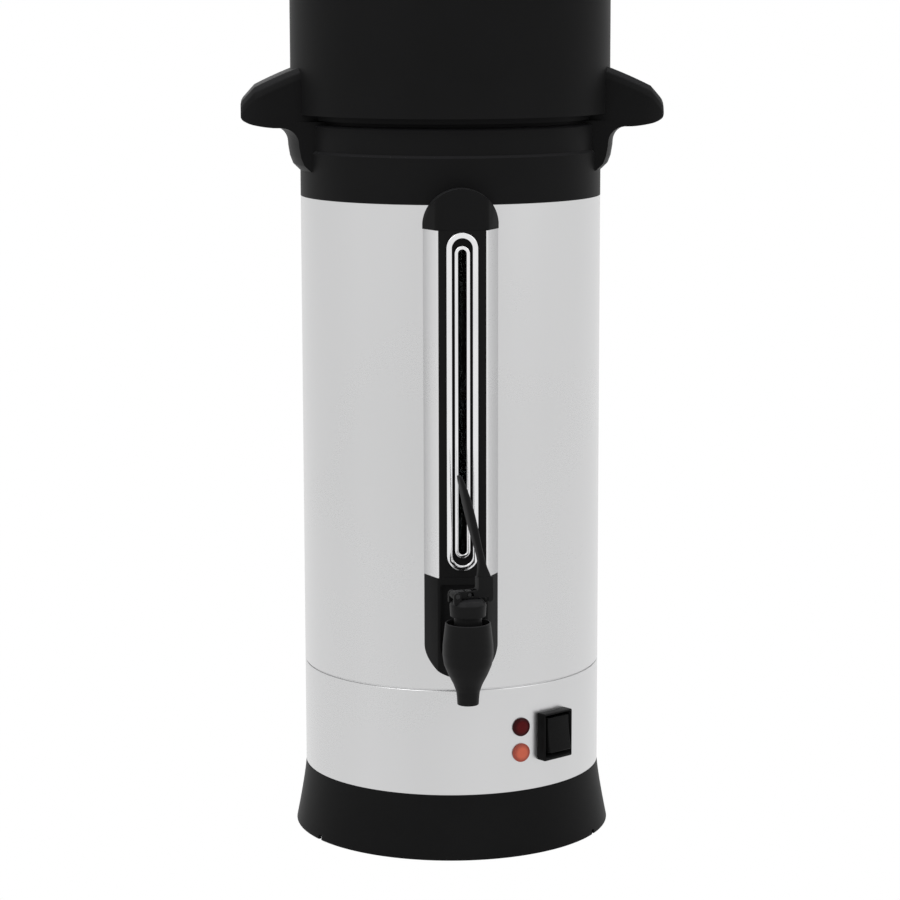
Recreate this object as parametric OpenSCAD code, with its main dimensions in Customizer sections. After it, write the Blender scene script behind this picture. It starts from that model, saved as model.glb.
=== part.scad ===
// Coffee urn with a lift-off lid, level gauge and self-closing tap.
// Millimetres. The origin is the centre of the footprint, +Z is up,
// the tap faces -Y and the left and right grips lie along X.

/* [Body] */
// Outside diameter of the steel body
body_d = 200; // [190:2:220]
// Thickness of the steel sheet
sheet = 1; // [0.8:0.1:1.4]
// Height of the black base ring above the floor
base_h = 43; // [38:1:50]
// How far the base ring flares out at the floor
base_flare = 7; // [5:0.5:9]
// Height of the steel skirt that houses the electrics
skirt_h = 71; // [68:1:80]
// Height of the tank from the seam to the shoulder
tank_h = 346; // [330:2:400]
// Height of the neck above the body, with its shoulder
neck_h = 24.7; // [22:0.5:28]
// How far the neck steps in from the body
neck_in = 7; // [6:0.5:8]
// How far the feet stand below the base ring
foot_gap = 0.5; // [0.25:0.25:2]

/* [Lid and handles] */
// Height of the lid's side wall above the rim
lid_wall_h = 11; // [9:0.5:13]
// Height of the lid's dome above its side wall
lid_dome_h = 6; // [5:0.5:8]
// Wall thickness of the lid moulding
lid_wall = 2.5; // [2:0.1:3]
// Diameter of the steam vent in the lid
vent_d = 9; // [6:0.5:11]
// Height of the arch above the rim
arch_rise = 48.6; // [46:0.5:56]
// Thickness of the arch at its middle
arch_t = 8.8; // [8:0.2:11]
// Width of the arch at its middle, front to back
arch_w = 34; // [28:1:38]
// Width of the side grips, front to back
grip_w = 76; // [70:1:84]
// How far the side grips stand out from the body
grip_reach = 39; // [36:0.5:44]
// How far the finger gap under the arch ends inside the body's side
gap_in = 25; // [24:0.5:30]

/* [Level gauge] */
// Width of the gauge at the tank wall
gauge_w = 48.5; // [42:0.5:52]
// How far the gauge stands out from the tank
gauge_out = 13; // [12:0.5:15]
// Width of the black gauge strip
strip_w = 30.5; // [26:0.5:32]
// Height of the gauge's lower end above the seam
gauge_low = 77.5; // [74:0.5:84]
// Distance from the steel gauge cover up to the tank's shoulder
gauge_under = 45; // [44:0.5:60]
// Width of the outer bright ring
ring_w = 20.2; // [18:0.2:22]
// Width of the inner bright ring
slot_ring_w = 9.8; // [9:0.2:11]
// Outside diameter of the sight tube
sight_d = 6; // [5.5:0.1:6.2]

/* [Tap] */
// Distance from the tank wall to the tap's upright axis
tap_reach = 60; // [56:1:70]
// Height of the tap's body
tap_h = 55; // [54:0.5:58]
// Height of the tap's outlet above the seam
outlet_up = 6; // [4:0.5:12]
// Outside diameter of the spout's tip
spout_d = 13.4; // [12.4:0.2:15]
// Bore of the spout
spout_bore = 9; // [7:0.5:9.5]
// Widest diameter of the tap body
tap_d = 32; // [30:0.5:34]
// Diameter of the tap's shank
shank_d = 16; // [14:0.5:17]
// Length of the lever above its fulcrum
lever_len = 76; // [66:1:84]
// How far the lever is swivelled from facing forward at rest
lever_turn = 72; // [0:1:80]

/* [Switch and lamps] */
// Angle of the switch from the front, towards +X
switch_at = 38; // [34:0.2:48]
// Height of the switch's middle above the base ring
switch_up = 35.6; // [30:0.2:42]
// Width of the switch's frame
switch_w = 25; // [22:0.5:26]
// Height of the switch's frame
switch_h = 31; // [29:0.5:34]
// Tilt of the rocker either side of level
rocker_tilt = 7; // [5:0.5:8]
// Angle of the lamps from the front, towards +X
lamp_at = 23.4; // [18:0.2:24]
// Diameter of a lamp's lens
lamp_d = 12.4; // [10:0.2:13]
// Distance between the two lamps
lamp_pitch = 17.4; // [16:0.2:20]

/* [Percolator] */
// Outside diameter of the coffee basket
basket_d = 156; // [120:2:164]
// Depth of the coffee basket
basket_h = 70; // [50:1:80]
// Outside diameter of the pump tube
pump_d = 10; // [8:0.5:12]

/* [Hidden] */

$fn = 96;
STEEL = [0.76, 0.76, 0.77];
BRIGHT = [0.88, 0.88, 0.9];
BLACK = [0.09, 0.09, 0.095];
ALLOY = [0.62, 0.63, 0.65];
RUBBER = [0.14, 0.14, 0.14];
SILICONE = [0.82, 0.8, 0.76];
GLASS = [0.75, 0.82, 0.85, 0.5];
BRASS = [0.72, 0.58, 0.32];
CERAMIC = [0.9, 0.88, 0.82];

big = 400;              // longer than any piece that it cuts
touch = 0.05;           // gap between faces that meet
run = 0.08;             // radial running clearance
free = 0.3;             // gap between parts that move apart

// Levels and radii of the body
body_r = body_d / 2;
inner_r = body_r - sheet;
seam_z = base_h + skirt_h;
shoulder_z = seam_z + tank_h;
rim_z = shoulder_z + neck_h;
neck_r = body_r - neck_in;
neck_taper = 1;
shoulder_h = 6;
roll_r = 1.6;
seam_gap = 0.4;
floor_z = seam_z + 4;
gauge_len = tank_h - gauge_low - gauge_under;
gap_half = body_r - gap_in;
well_r = 18;
well_depth = 5;
well_slope = 4;

// Base
base_wall = 2.5;
base_lip = 6;
plate_z = foot_gap + 4.5;
plate_t = 2.5;
plate_r = body_r + base_flare - base_wall - 2;
boss_r = 5;
boss_at = plate_r - 8;
foot_r = 8;
foot_at = plate_r - 26;
m4_r = 2;
head_r = 3.8;
head_h = 2.4;

// Moves a piece that is built facing -Y round to an angle towards +X
module facing(angle) rotate([0, 0, angle]) children();

// Extrudes a front-view outline outwards, from one distance from the axis to another
module outward(near, far) translate([0, -near, 0]) rotate([90, 0, 0])
  linear_extrude(far - near) children();

// A rod that lies along the outward direction at a height
module out_rod(r, near, far, z, x = 0) translate([x, -near, z]) rotate([90, 0, 0])
  cylinder(r = r, h = far - near);

// A hollow ring that stands on a level
module ring(r_out, r_in, z, h) translate([0, 0, z]) difference() {
  cylinder(r = r_out, h = h);
  translate([0, 0, -1]) cylinder(r = r_in, h = h + 2);
}

// Four places round the axis, between the X and Y axes
module four_round(radius) for (k = [0 : 3]) rotate([0, 0, 45 + 90 * k])
  translate([radius, 0, 0]) children();

// A solid skinned over a row of like sections, each a list of points
module skinned(sections) {
  n = len(sections[0]);
  m = len(sections);
  points = [for (s = sections) each s];
  sides = [for (i = [0 : m - 2], j = [0 : n - 1])
    let (a = i * n + j, b = i * n + (j + 1) % n)
    each [[a, b, b + n], [a, b + n, a + n]]];
  first = [[for (j = [n - 1 : -1 : 0]) j]];
  last = [[for (j = [0 : n - 1]) (m - 1) * n + j]];
  polyhedron(points, concat(sides, first, last), convexity = 6);
}

// ---- Base ----

// Radius of the base ring's outside at a height
function flare_r(z) = body_r + base_flare * pow(1 - (z - foot_gap) / (base_h - foot_gap), 1.25);

// Ribs that join the screw bosses to the wall
rib_h = 12;
rib_far = flare_r(plate_z + plate_t + rib_h) - base_wall / 2;

module base_profile() {
  steps = 8;
  levels = [for (k = [0 : steps]) foot_gap + (base_h - foot_gap) * k / steps];
  outer = [for (z = levels) [flare_r(z), z]];
  inner = [for (k = [steps : -1 : 0]) [flare_r(levels[k]) - base_wall, levels[k]]];
  polygon(concat(outer, inner));
}

module base_ring() color(BLACK) difference() {
  union() {
    rotate_extrude() base_profile();
    // shoulder that carries the skirt, with the lip that centres it
    ring(body_r - 0.2, inner_r - 4, base_h - 3, 3 - touch);
    ring(inner_r - run, inner_r - 4, base_h - 3, 3 + base_lip);
    four_round(boss_at) translate([0, 0, plate_z + plate_t + touch])
      cylinder(r = boss_r, h = base_h - plate_z - plate_t - 2);
    four_round(boss_at) translate([0, -1.5, plate_z + plate_t + touch])
      cube([rib_far - boss_at, 3, rib_h]);
  }
  four_round(boss_at) translate([0, 0, plate_z]) cylinder(r = m4_r + touch, h = 14);
  // three small drain notches in the bottom rim
  for (a = [-60, 60, 180]) facing(a)
    translate([-1.9, -body_r - base_flare - 2, foot_gap - 1]) cube([3.8, 12, 4.2]);
}

module base_plate() color(BLACK) translate([0, 0, plate_z]) difference() {
  cylinder(r = plate_r, h = plate_t);
  four_round(boss_at) translate([0, 0, -1]) cylinder(r = m4_r + 0.3, h = plate_t + 2);
  rotate([0, 0, 45]) four_round(foot_at) translate([0, 0, -1])
    cylinder(r = 2.5 + touch, h = plate_t + 2);
  translate([0, 0, -1]) cylinder(r = 3, h = plate_t + 2);
  // ventilation slots
  for (side = [-1, 1], k = [0 : 4]) translate([-24, side * (18 + 6 * k) - 1.5, -1])
    cube([48, 3, plate_t + 2]);
}

module base_screws() color(STEEL) four_round(boss_at) {
  translate([0, 0, plate_z - head_h]) cylinder(r = head_r, h = head_h);
  translate([0, 0, plate_z - 1]) cylinder(r = m4_r, h = 13);
}

module feet() color(RUBBER) rotate([0, 0, 45]) four_round(foot_at) {
  cylinder(r1 = foot_r - 1, r2 = foot_r, h = 1);
  translate([0, 0, 1]) cylinder(r = foot_r, h = plate_z - 1);
  translate([0, 0, plate_z - 1]) cylinder(r = 2.5, h = plate_t + 1);
  translate([0, 0, plate_z + plate_t + touch - 0.1]) cylinder(r = 2.4, h = 2);
}

// ---- Skirt and tank ----

switch_z = base_h + switch_up;
cutout_w = switch_w - 4;
cutout_h = switch_h - 3.2;
lamp_z = [switch_z + 7.8, switch_z + 7.8 - lamp_pitch];
holder_r = lamp_d / 2 - 1.4;
gland_z = base_h + 20;
gland_r = 7.5;
gland_bore = 3.75;

module skirt() color(STEEL) difference() {
  rotate_extrude() polygon([[body_r, base_h], [body_r, seam_z - seam_gap],
    [inner_r - run, seam_z - seam_gap], [inner_r - run, seam_z + 3],
    [inner_r - run - sheet, seam_z + 3], [inner_r - run - sheet, seam_z - 7],
    [inner_r, seam_z - 7 - sheet], [inner_r, base_h]]);
  facing(switch_at) outward(body_r - 12, body_r + 5) translate([0, switch_z])
    square([cutout_w + 2 * touch, cutout_h + 2 * touch], center = true);
  for (z = lamp_z) facing(lamp_at) out_rod(holder_r + touch, body_r - 8, body_r + 5, z);
  facing(180) out_rod(gland_r + touch, body_r - 8, body_r + 5, gland_z);
}

tap_z = seam_z + outlet_up;                 // underside of the spout
shank_z = tap_z + 30;
gauge_z = seam_z + gauge_low;
gauge_top = gauge_z + gauge_len;
grip_screw_z = rim_z - 31;
grip_screw_turn = 12;
cap_screw_z = gauge_top + 11;

// Outline of the tank from the seam to the rim, drawn out by a gap
module tank_outline(gap) {
  polygon([[0, seam_z + seam_gap], [body_r + gap, seam_z + seam_gap],
    [body_r + gap, shoulder_z - 1.5], [body_r - 0.5 + gap, shoulder_z],
    [neck_r + 2 + gap, shoulder_z + shoulder_h - 1.5],
    [neck_r + gap, shoulder_z + shoulder_h],
    [neck_r - neck_taper + gap, rim_z - roll_r],
    [0, rim_z - roll_r]]);
  translate([rim_roll_r(), rim_z - roll_r]) circle(r = roll_r + gap, $fn = 32);
}

function rim_roll_r() = neck_r - neck_taper + 0.6;
neck_inner = neck_r - neck_taper - sheet;

module tank() color(STEEL) difference() {
  rotate_extrude() {
    polygon([[body_r, seam_z + seam_gap], [body_r, shoulder_z - 1.5],
      [body_r - 0.5, shoulder_z], [neck_r + 2, shoulder_z + shoulder_h - 1.5],
      [neck_r, shoulder_z + shoulder_h], [neck_r - neck_taper, rim_z - roll_r],
      [neck_inner, rim_z - roll_r], [neck_inner + neck_taper, shoulder_z + shoulder_h - 0.4],
      [neck_inner + neck_taper + 1.8, shoulder_z + shoulder_h - 2.4],
      [inner_r - 0.8, shoulder_z - 1], [inner_r, shoulder_z - 2.4],
      [inner_r, floor_z + sheet], [well_r + well_slope, floor_z + sheet],
      [well_r, floor_z + sheet - well_depth], [0, floor_z + sheet - well_depth],
      [0, floor_z - well_depth], [well_r + 0.6, floor_z - well_depth],
      [well_r + well_slope + 0.6, floor_z], [inner_r, floor_z], [inner_r, seam_z + seam_gap]]);
    translate([rim_roll_r(), rim_z - roll_r]) circle(r = roll_r, $fn = 32);
  }
  out_rod(shank_d / 2 + 0.3, inner_r - 8, body_r + 3, shank_z);
  out_rod(m4_r + 0.2, inner_r - 8, body_r + 3, cap_screw_z);
  for (side = [-90, 90], turn = [-1, 1]) facing(side + turn * grip_screw_turn)
    out_rod(m4_r + 0.2, inner_r - 8, body_r + 3, grip_screw_z);
}

// ---- Heater and controls under the tank ----

heater_t = 4;
heater_r = 72;
heater_hole = well_r + well_slope + 3;
heater_under = floor_z - touch - heater_t;
coil_r = 52;
tube_r = 4;
coil_gap = 30;
stat_turn = 36;
rod_r = 2.5;

module heater_plate() color(ALLOY) {
  ring(heater_r, heater_hole, heater_under, heater_t);
  // bridge under the well that carries the tie rod
  translate([-heater_hole - 6, -7, floor_z - well_depth - touch - 3]) difference() {
    cube([2 * heater_hole + 12, 14, 3]);
    translate([heater_hole + 6, 7, -1]) cylinder(r = rod_r + touch, h = 6);
  }
  for (side = [-1, 1]) translate([side * (heater_hole + 3.5), 0, floor_z - well_depth - touch - 3])
    translate([-2.5, -7, 0]) cube([5, 14, heater_under - floor_z + well_depth + touch + 4]);
}

module heater_element() color(STEEL) {
  translate([0, 0, heater_under - touch - tube_r]) {
    rotate([0, 0, 90 + coil_gap / 2]) rotate_extrude(angle = 360 - coil_gap)
      translate([coil_r, 0]) circle(r = tube_r, $fn = 32);
    for (side = [-1, 1]) rotate([0, 0, 90 + side * coil_gap / 2]) translate([coil_r, 0, 0]) {
      sphere(r = tube_r, $fn = 32);
      translate([0, 0, -16]) cylinder(r = tube_r, h = 16, $fn = 32);
      translate([0, 0, -24]) cylinder(r = 1.6, h = 9, $fn = 32);
    }
  }
}

rod_top = floor_z - well_depth - 2 * touch;
module tie_rod() color(STEEL) {
  translate([0, 0, plate_z - 4]) cylinder(r = rod_r, h = rod_top - plate_z + 4);
  translate([0, 0, plate_z - 3]) cylinder(r = 5, h = 3 - touch, $fn = 6);
  translate([0, 0, rod_top - 8]) cylinder(r = 5, h = 4.9, $fn = 6);
}

// Place under the heater plate, midway between its hub and the element,
// at an angle from -X
module under_heater(turn) rotate([0, 0, 180 + turn])
  translate([(heater_hole + coil_r - tube_r) / 2, 0, heater_under - touch]) children();

// Two flat terminals that hang below a control
module terminals(half_pitch, low) color(ALLOY) for (side = [-1, 1])
  translate([side * half_pitch - 0.4, -3, low]) cube([0.8, 6, 9]);

module thermostat() under_heater(stat_turn) {
  color(CERAMIC) translate([0, 0, -12]) cylinder(r = 7, h = 12);
  terminals(4, -20);
}

module thermal_cutout() under_heater(-stat_turn) {
  color(BLACK) translate([-6, -7, -10]) cube([12, 14, 10]);
  terminals(3, -18);
}

block_y = plate_r - 36.5;
module terminal_block() {
  base = plate_z + plate_t + touch;
  color(BLACK) difference() {
    translate([-17, block_y - 8, base]) cube([34, 16, 13]);
    for (k = [-1 : 1]) translate([10 * k, block_y, base + 8]) cylinder(r = 3, h = 6, $fn = 24);
  }
  color(BRASS) for (k = [-1 : 1]) translate([10 * k, block_y, base + 8])
    cylinder(r = 2.6, h = 3.5, $fn = 24);
}

wire_r = 1.6;
wire_from = 8;
module wiring() color(RUBBER) for (k = [0 : 2]) translate([0, 0, base_h + base_lip + 2.2 + 3.5 * k])
  rotate([0, 0, -90 + switch_at + wire_from]) rotate_extrude(angle = 132 - switch_at - 4 * k)
    translate([inner_r - wire_r - touch, 0]) circle(r = wire_r, $fn = 24);

module cord_gland() color(BLACK) facing(180) difference() {
  union() {
    out_rod(gland_r + 3, body_r + touch, body_r + 4, gland_z);
    out_rod(gland_r, body_r - 14, body_r + 3, gland_z);
    out_rod(gland_r - 1.5, body_r + 3, body_r + 9, gland_z);
  }
  out_rod(gland_bore, body_r - 20, body_r + 20, gland_z);
  // the bore is tight outside the skirt only
  out_rod(gland_bore + 0.8, body_r - 20, body_r + 0.3, gland_z);
}

module gland_nut() color(BLACK) facing(180) difference() {
  intersection() {
    translate([0, -body_r + 7, gland_z]) rotate([90, 30, 0]) cylinder(r = 12, h = 10, $fn = 6);
    cylinder(r = inner_r - touch, h = big);
  }
  out_rod(gland_r + touch, body_r - 20, body_r + 5, gland_z);
}

// ---- Lid ----

lid_z = rim_z + 0.35;                       // underside of the lid's flange
lid_flange_r = neck_r - 1.2;
lid_top_r = body_r - 12;
lid_edge_z = lid_z + lid_wall_h;
lid_peak_z = lid_edge_z + lid_dome_h;
dish_r = 42;
dish_depth = 3;
plug_r = neck_inner - 2.4;
seal_r = neck_inner - 0.4;
plug_depth = 9;
dome_r = lid_top_r - 36;
brow_r = lid_top_r - 2;
vent_at = lid_top_r - 13;
vent_turn = 35;

// Height of the lid's top at a radius
function lid_top(r) = r > brow_r ? lid_edge_z - (r - brow_r) * 0.6
  : r > dome_r ? lid_peak_z - lid_dome_h * pow((r - dome_r) / (brow_r - dome_r), 2)
  : r > dish_r ? lid_peak_z
  : lid_peak_z - dish_depth * (1 + cos(180 * r / dish_r)) / 2;

lid_radii = concat([for (k = [0 : 5]) dish_r * k / 5],
  [for (k = [0 : 5]) dome_r + (brow_r - dome_r) * k / 5]);

module lid_outline(gap) polygon(concat(
  [for (r = lid_radii) [r, lid_top(r) + gap]],
  [[lid_top_r - 0.4 + gap, lid_edge_z - 0.7 + gap], [lid_top_r + gap, lid_edge_z - 2.4],
   [lid_flange_r - 2 + gap, lid_z + 2.2], [lid_flange_r + gap, lid_z + 1.6],
   [lid_flange_r + gap, lid_z - gap], [0, lid_z - gap]]));

module lid_hollow() polygon(concat(
  [for (r = lid_radii) if (r < lid_top_r - 4) [r, lid_top(r) - lid_wall]],
  [[lid_top_r - lid_wall - 1, lid_edge_z - lid_wall - 1],
   [plug_r - lid_wall, lid_z + 2], [plug_r - lid_wall, lid_z - plug_depth - 1],
   [0, lid_z - plug_depth - 1]]));

screw_x = gap_half + 5.5;
screw_y = 11;
screw_boss_z = lid_edge_z - 6;

module lid_screw_places() for (sx = [-1, 1], sy = [-1, 1])
  translate([sx * screw_x, sy * screw_y, 0]) children();

module lid() color(BLACK) difference() {
  union() {
    difference() {
      rotate_extrude() union() {
        lid_outline(0);
        translate([plug_r - lid_wall - 0.5, lid_z - plug_depth])
          square([lid_wall + 0.5, plug_depth + 1]);
      }
      rotate_extrude() lid_hollow();
    }
    lid_screw_places() translate([0, 0, screw_boss_z])
      cylinder(r = 4.4, h = lid_edge_z - screw_boss_z);
  }
  lid_screw_places() translate([0, 0, screw_boss_z - 1]) cylinder(r = m4_r + 0.2, h = 20);
  facing(vent_turn) translate([0, -vent_at, 0]) {
    cylinder(d = vent_d, h = big * 2);
    translate([0, 0, lid_top(vent_at) - 1.2]) cylinder(r1 = vent_d / 2 + 2, r2 = vent_d / 2 + 5, h = 4);
  }
}

module lid_seal() color(SILICONE)
  ring(seal_r, plug_r + touch, lid_z - 3.5, 3.5 - touch);

// ---- Arch and side grips ----

grip_x = body_r + grip_reach;
chamfer_x = grip_x - 9;
arch_top_z = rim_z + arch_rise;
arch_drop = 31;
arch_r = (pow(chamfer_x, 2) + pow(arch_drop, 2)) / (2 * arch_drop);
split_r = body_r + 6;
grip_low_z = rim_z - 8.8;
seat_z = rim_z - 0.2;                       // top of the grip's saddle under the arch
arch_foot_z = rim_z + 0.15;
bevel_h = 8;
bevel_d = 6;

function arch_z(x) = arch_top_z - arch_r + sqrt(pow(arch_r, 2) - pow(x, 2));
// 0 at one value, 1 at another, with a smooth run between
function ease(a, b, x) = let (t = min(1, max(0, (x - a) / (b - a)))) t * t * (3 - 2 * t);
function half_w(x) = arch_w / 2 + (grip_w - arch_w) / 2 * ease(36, split_r, x);

// Section of the arch or grip at a distance from the middle
function bow_section(side, x, w, low, top, edge = 1.5) = let (
    b = min(bevel_h, top - low - edge - 0.5), d = bevel_d * b / bevel_h, s = side * x)
  [[s, -w + edge, low], [s, -w, low + edge], [s, -w, top - b],
   [s, -w + 0.3 * d, top - 0.45 * b], [s, -w + d, top],
   [s, w - d, top], [s, w - 0.3 * d, top - 0.45 * b],
   [s, w, top - b], [s, w, low + edge], [s, w - edge, low]];

under_half = gap_half - 17;
under_drop = 7.3;
under_r = (pow(under_half, 2) + pow(under_drop, 2)) / (2 * under_drop);
// Height of the arch's underside, then of the legs, at a distance from the middle
function under_z(x) = let (crown = arch_top_z - arch_t)
  x <= under_half ? crown - under_r + sqrt(pow(under_r, 2) - pow(x, 2))
  : crown - under_drop - (x - under_half) * 0.42 - pow((x - under_half) / 11, 3) * 6;

bow_x = [for (k = [0 : 9]) under_half * k / 9];
leg_x = [for (k = [1 : 7]) under_half + (gap_half - under_half) * k / 7];
// Bottom of the legs outside the finger gap
leg_points = [[gap_half + 0.6, lid_edge_z - 4], [lid_top_r - 1, lid_edge_z - 5],
  [lid_top_r + 4, lid_edge_z - 5.5], [split_r - 8, lid_edge_z - 6.5],
  [split_r - 5.5, arch_foot_z], [split_r + 2, arch_foot_z]];

module lid_handle() color(BLACK) difference() {
  half = concat([for (x = concat(bow_x, leg_x)) [x, under_z(x)]], leg_points);
  n = len(half);
  skinned([for (k = [-(n - 1) : n - 1]) let (p = half[abs(k)], x = p[0])
    bow_section(k < 0 ? -1 : 1, x, half_w(x), p[1], arch_z(x))]);
  rotate_extrude() lid_outline(touch);
  difference() {
    cylinder(r = big, h = big * 2);
    translate([0, 0, -1]) cylinder(r = split_r - free / 2, h = big * 2 + 2);
  }
  lid_screw_places() translate([0, 0, lid_z]) cylinder(r = m4_r + touch, h = screw_reach + 1);
}

screw_reach = lid_wall_h + 8;
module lid_screws() color(STEEL) lid_screw_places() {
  translate([0, 0, screw_boss_z - head_h - touch]) cylinder(r = head_r, h = head_h);
  translate([0, 0, screw_boss_z - 1]) cylinder(r = m4_r, h = lid_z + screw_reach - screw_boss_z);
}

// Outside of the saddle that hugs the tank, from its foot up to the grip
saddle_low = rim_z - 39;
fillet_r = 14.5;
fillet_at = body_r + 23.5;
module saddle_profile() polygon(concat(
  [[neck_r - 6, saddle_low], [body_r + 1, saddle_low], [body_r + 2.7, saddle_low + 2.4],
   [body_r + 5.5, saddle_low + 6.4], [body_r + 7.6, saddle_low + 13]],
  [for (a = [180 : -15 : 90]) [fillet_at + fillet_r * cos(a),
    grip_low_z - fillet_r + fillet_r * sin(a)]],
  [[fillet_at, grip_low_z + 4], [neck_r - 6, grip_low_z + 4]]));

grip_stations = [[neck_r - 8, 0], [body_r + 2, 0], [split_r, 0], [body_r + 14, 0],
  [body_r + 23, 0.2], [chamfer_x - 3, 1.2], [chamfer_x, 1.8], [grip_x - 5, 2.9],
  [grip_x - 2, 4], [grip_x, 5.8]];
// Top and width of the grip, which narrow at the chamfered end
function grip_top(x) = x <= chamfer_x ? arch_z(x)
  : arch_z(chamfer_x) - (x - chamfer_x) / (grip_x - chamfer_x) * 9.8;
function grip_half(x) = half_w(x) - 7 * pow(max(0, x - grip_x + 14) / 14, 2);

module grip() color(BLACK) difference() {
  union() {
    skinned([for (p = grip_stations) let (x = p[0])
      bow_section(1, x, grip_half(x), grip_low_z + p[1], grip_top(x), 2)]);
    intersection() {
      rotate([0, 0, -35]) rotate_extrude(angle = 70) saddle_profile();
      translate([0, -grip_w / 2, 0]) cube([big, grip_w, big * 2]);
    }
  }
  rotate_extrude() tank_outline(touch);
  // the saddle bears on the body and hooks in under the rim, clear of the neck
  translate([0, 0, rim_z - 23.2]) cylinder(r = body_r - 1.6, h = 16);
  translate([0, 0, seat_z]) cylinder(r = split_r + free / 2, h = big);
  translate([0, 0, rim_z - 4]) cylinder(r = neck_r + 3, h = big);
  for (turn = [-1, 1]) facing(90 + turn * grip_screw_turn)
    out_rod(m4_r + touch, body_r - 5, body_r + 5.2, grip_screw_z);
}

module grip_right() grip();
module grip_left() rotate([0, 0, 180]) grip();

module grip_screws() color(STEEL) for (side = [-90, 90], turn = [-1, 1])
  facing(side + turn * grip_screw_turn) {
    out_rod(head_r, inner_r - head_h - 0.2, inner_r - 0.2, grip_screw_z);
    out_rod(m4_r, inner_r - 1, body_r + 4.8, grip_screw_z);
  }

// ---- Level gauge ----

strip_t = 3.5;
gauge_r = body_r + gauge_out;
side_slope = (gauge_w - strip_w) / 2 - 0.85;
sight_r = sight_d / 2;
sight_at = body_r + 0.9 + sight_r;
ring_raise = 0.9;
ring_stroke = 3.5;
slot_stroke = 2.2;
ring_len = gauge_len - 6;
slot_len = gauge_len - 22.8;
ring_mid = gauge_z + gauge_len / 2 + 1.7;

// Plan of the gauge: wide at the tank and narrow at the front, drawn in by a gap
module gauge_plan(gap) {
  front = strip_w / 2 + 0.85 - gap;
  polygon([[-front, -gauge_r], [front, -gauge_r],
    [front + side_slope * 1.15, -body_r + 4.8 + 0.15 * (gauge_out - 7)],
    [-front - side_slope * 1.15, -body_r + 4.8 + 0.15 * (gauge_out - 7)]]);
}

// A slot with round ends, stood upright
module racetrack(w, h) {
  square([w, h - w], center = true);
  for (end = [-1, 1]) translate([0, end * (h - w) / 2]) circle(d = w, $fn = 48);
}

module gauge_channel() color(STEEL) translate([0, 0, gauge_z]) difference() {
  linear_extrude(gauge_len) gauge_plan(0);
  difference() {
    translate([0, 0, -1]) linear_extrude(gauge_len + 2) gauge_plan(0.85);
    translate([0, 0, -2]) cylinder(r = body_r + 0.85, h = gauge_len + 4);
  }
  translate([-strip_w / 2, -gauge_r - 1, -1]) cube([strip_w, 3, gauge_len + 2]);
  translate([0, 0, -1]) cylinder(r = body_r + touch, h = gauge_len + 2);
}

module gauge_strip() color(BLACK) difference() {
  intersection() {
    translate([0, 0, gauge_z]) linear_extrude(gauge_len) gauge_plan(0.85 + touch);
    outward(gauge_r - strip_t, gauge_r - 0.02) translate([0, gauge_z + gauge_len / 2])
      square([gauge_w, gauge_len], center = true);
  }
  outward(gauge_r - strip_t - 1, gauge_r + 1) translate([0, ring_mid])
    racetrack(slot_ring_w - 2 * slot_stroke, slot_len - 2 * slot_stroke);
}

module gauge_ring(w, h, stroke) color(BRIGHT) outward(gauge_r + touch, gauge_r + ring_raise)
  translate([0, ring_mid]) difference() {
    racetrack(w, h);
    racetrack(w - 2 * stroke, h - 2 * stroke);
  }

module gauge_ring_outer() gauge_ring(ring_w, ring_len, ring_stroke);
module gauge_ring_inner() gauge_ring(slot_ring_w, slot_len, slot_stroke);

sight_low = gauge_z - 8;
sight_top = gauge_top + 6;
module sight_tube() color(GLASS) translate([0, -sight_at, 0])
  ring(sight_r, sight_r - 1, sight_low, sight_top - sight_low);

// T-shaped silicone fitting that joins the shank to the sight tube
fitting_r = shank_d / 2 + 3;
module gauge_fitting() color(SILICONE) difference() {
  union() {
    out_rod(fitting_r, body_r - 4, room_far - touch, shank_z);
    translate([-5, -room_far + touch, shank_z]) cube([10, gauge_out, gauge_z - 2 - shank_z]);
  }
  cylinder(r = body_r + touch, h = big);
  out_rod(shank_d / 2 + touch, body_r - 6, gauge_r, shank_z);
  translate([0, -sight_at, sight_low - touch]) cylinder(r = sight_r + touch, h = big);
  translate([0, -sight_at, shank_z]) cylinder(r = sight_r - 1, h = big);
}

cap_r = gauge_w / 2 + 0.3;
module gauge_cap() color(BLACK) difference() {
  intersection() {
    translate([0, 0, gauge_top + touch]) linear_extrude(cap_r + 4) gauge_plan(-0.3);
    outward(body_r - 6, gauge_r + 0.2) {
      translate([0, gauge_top + 2.2]) circle(r = cap_r);
      translate([-cap_r, gauge_top]) square([2 * cap_r, 2.2]);
    }
  }
  cylinder(r = body_r + touch, h = big * 2);
  translate([0, -sight_at, gauge_top - 1]) cylinder(r = sight_r + touch, h = 8);
  out_rod(m4_r + touch, body_r - 5, body_r + 9, cap_screw_z);
}

module cap_screw() color(STEEL) {
  out_rod(head_r, inner_r - head_h - 0.2, inner_r - 0.2, cap_screw_z);
  out_rod(m4_r, inner_r - 1, body_r + 8, cap_screw_z);
}

// ---- Tap ----

house_r = gauge_w / 2 - 0.3;
house_mid = tap_z + 26.3;
pocket_r = strip_w / 2 - 0.4;
pocket_back = gauge_r - 4;
room_far = pocket_back - 1.45;
pocket_top = gauge_z - 4.5;
tap_y = body_r + tap_reach;
tap_r = tap_d / 2;
body_top = tap_z + tap_h;
seat_z_tap = tap_z + 14;
chamber_r = 10.4;
bonnet_low = body_top - 8;
collar_z = body_top + 3;
collar_top = collar_z + 9;
flange_t = 3;

// Front-view shape with a round lower end, up to a level
module tongue(r, mid, top) {
  translate([0, mid]) circle(r = r);
  translate([-r, mid]) square([2 * r, top - mid]);
}

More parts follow.
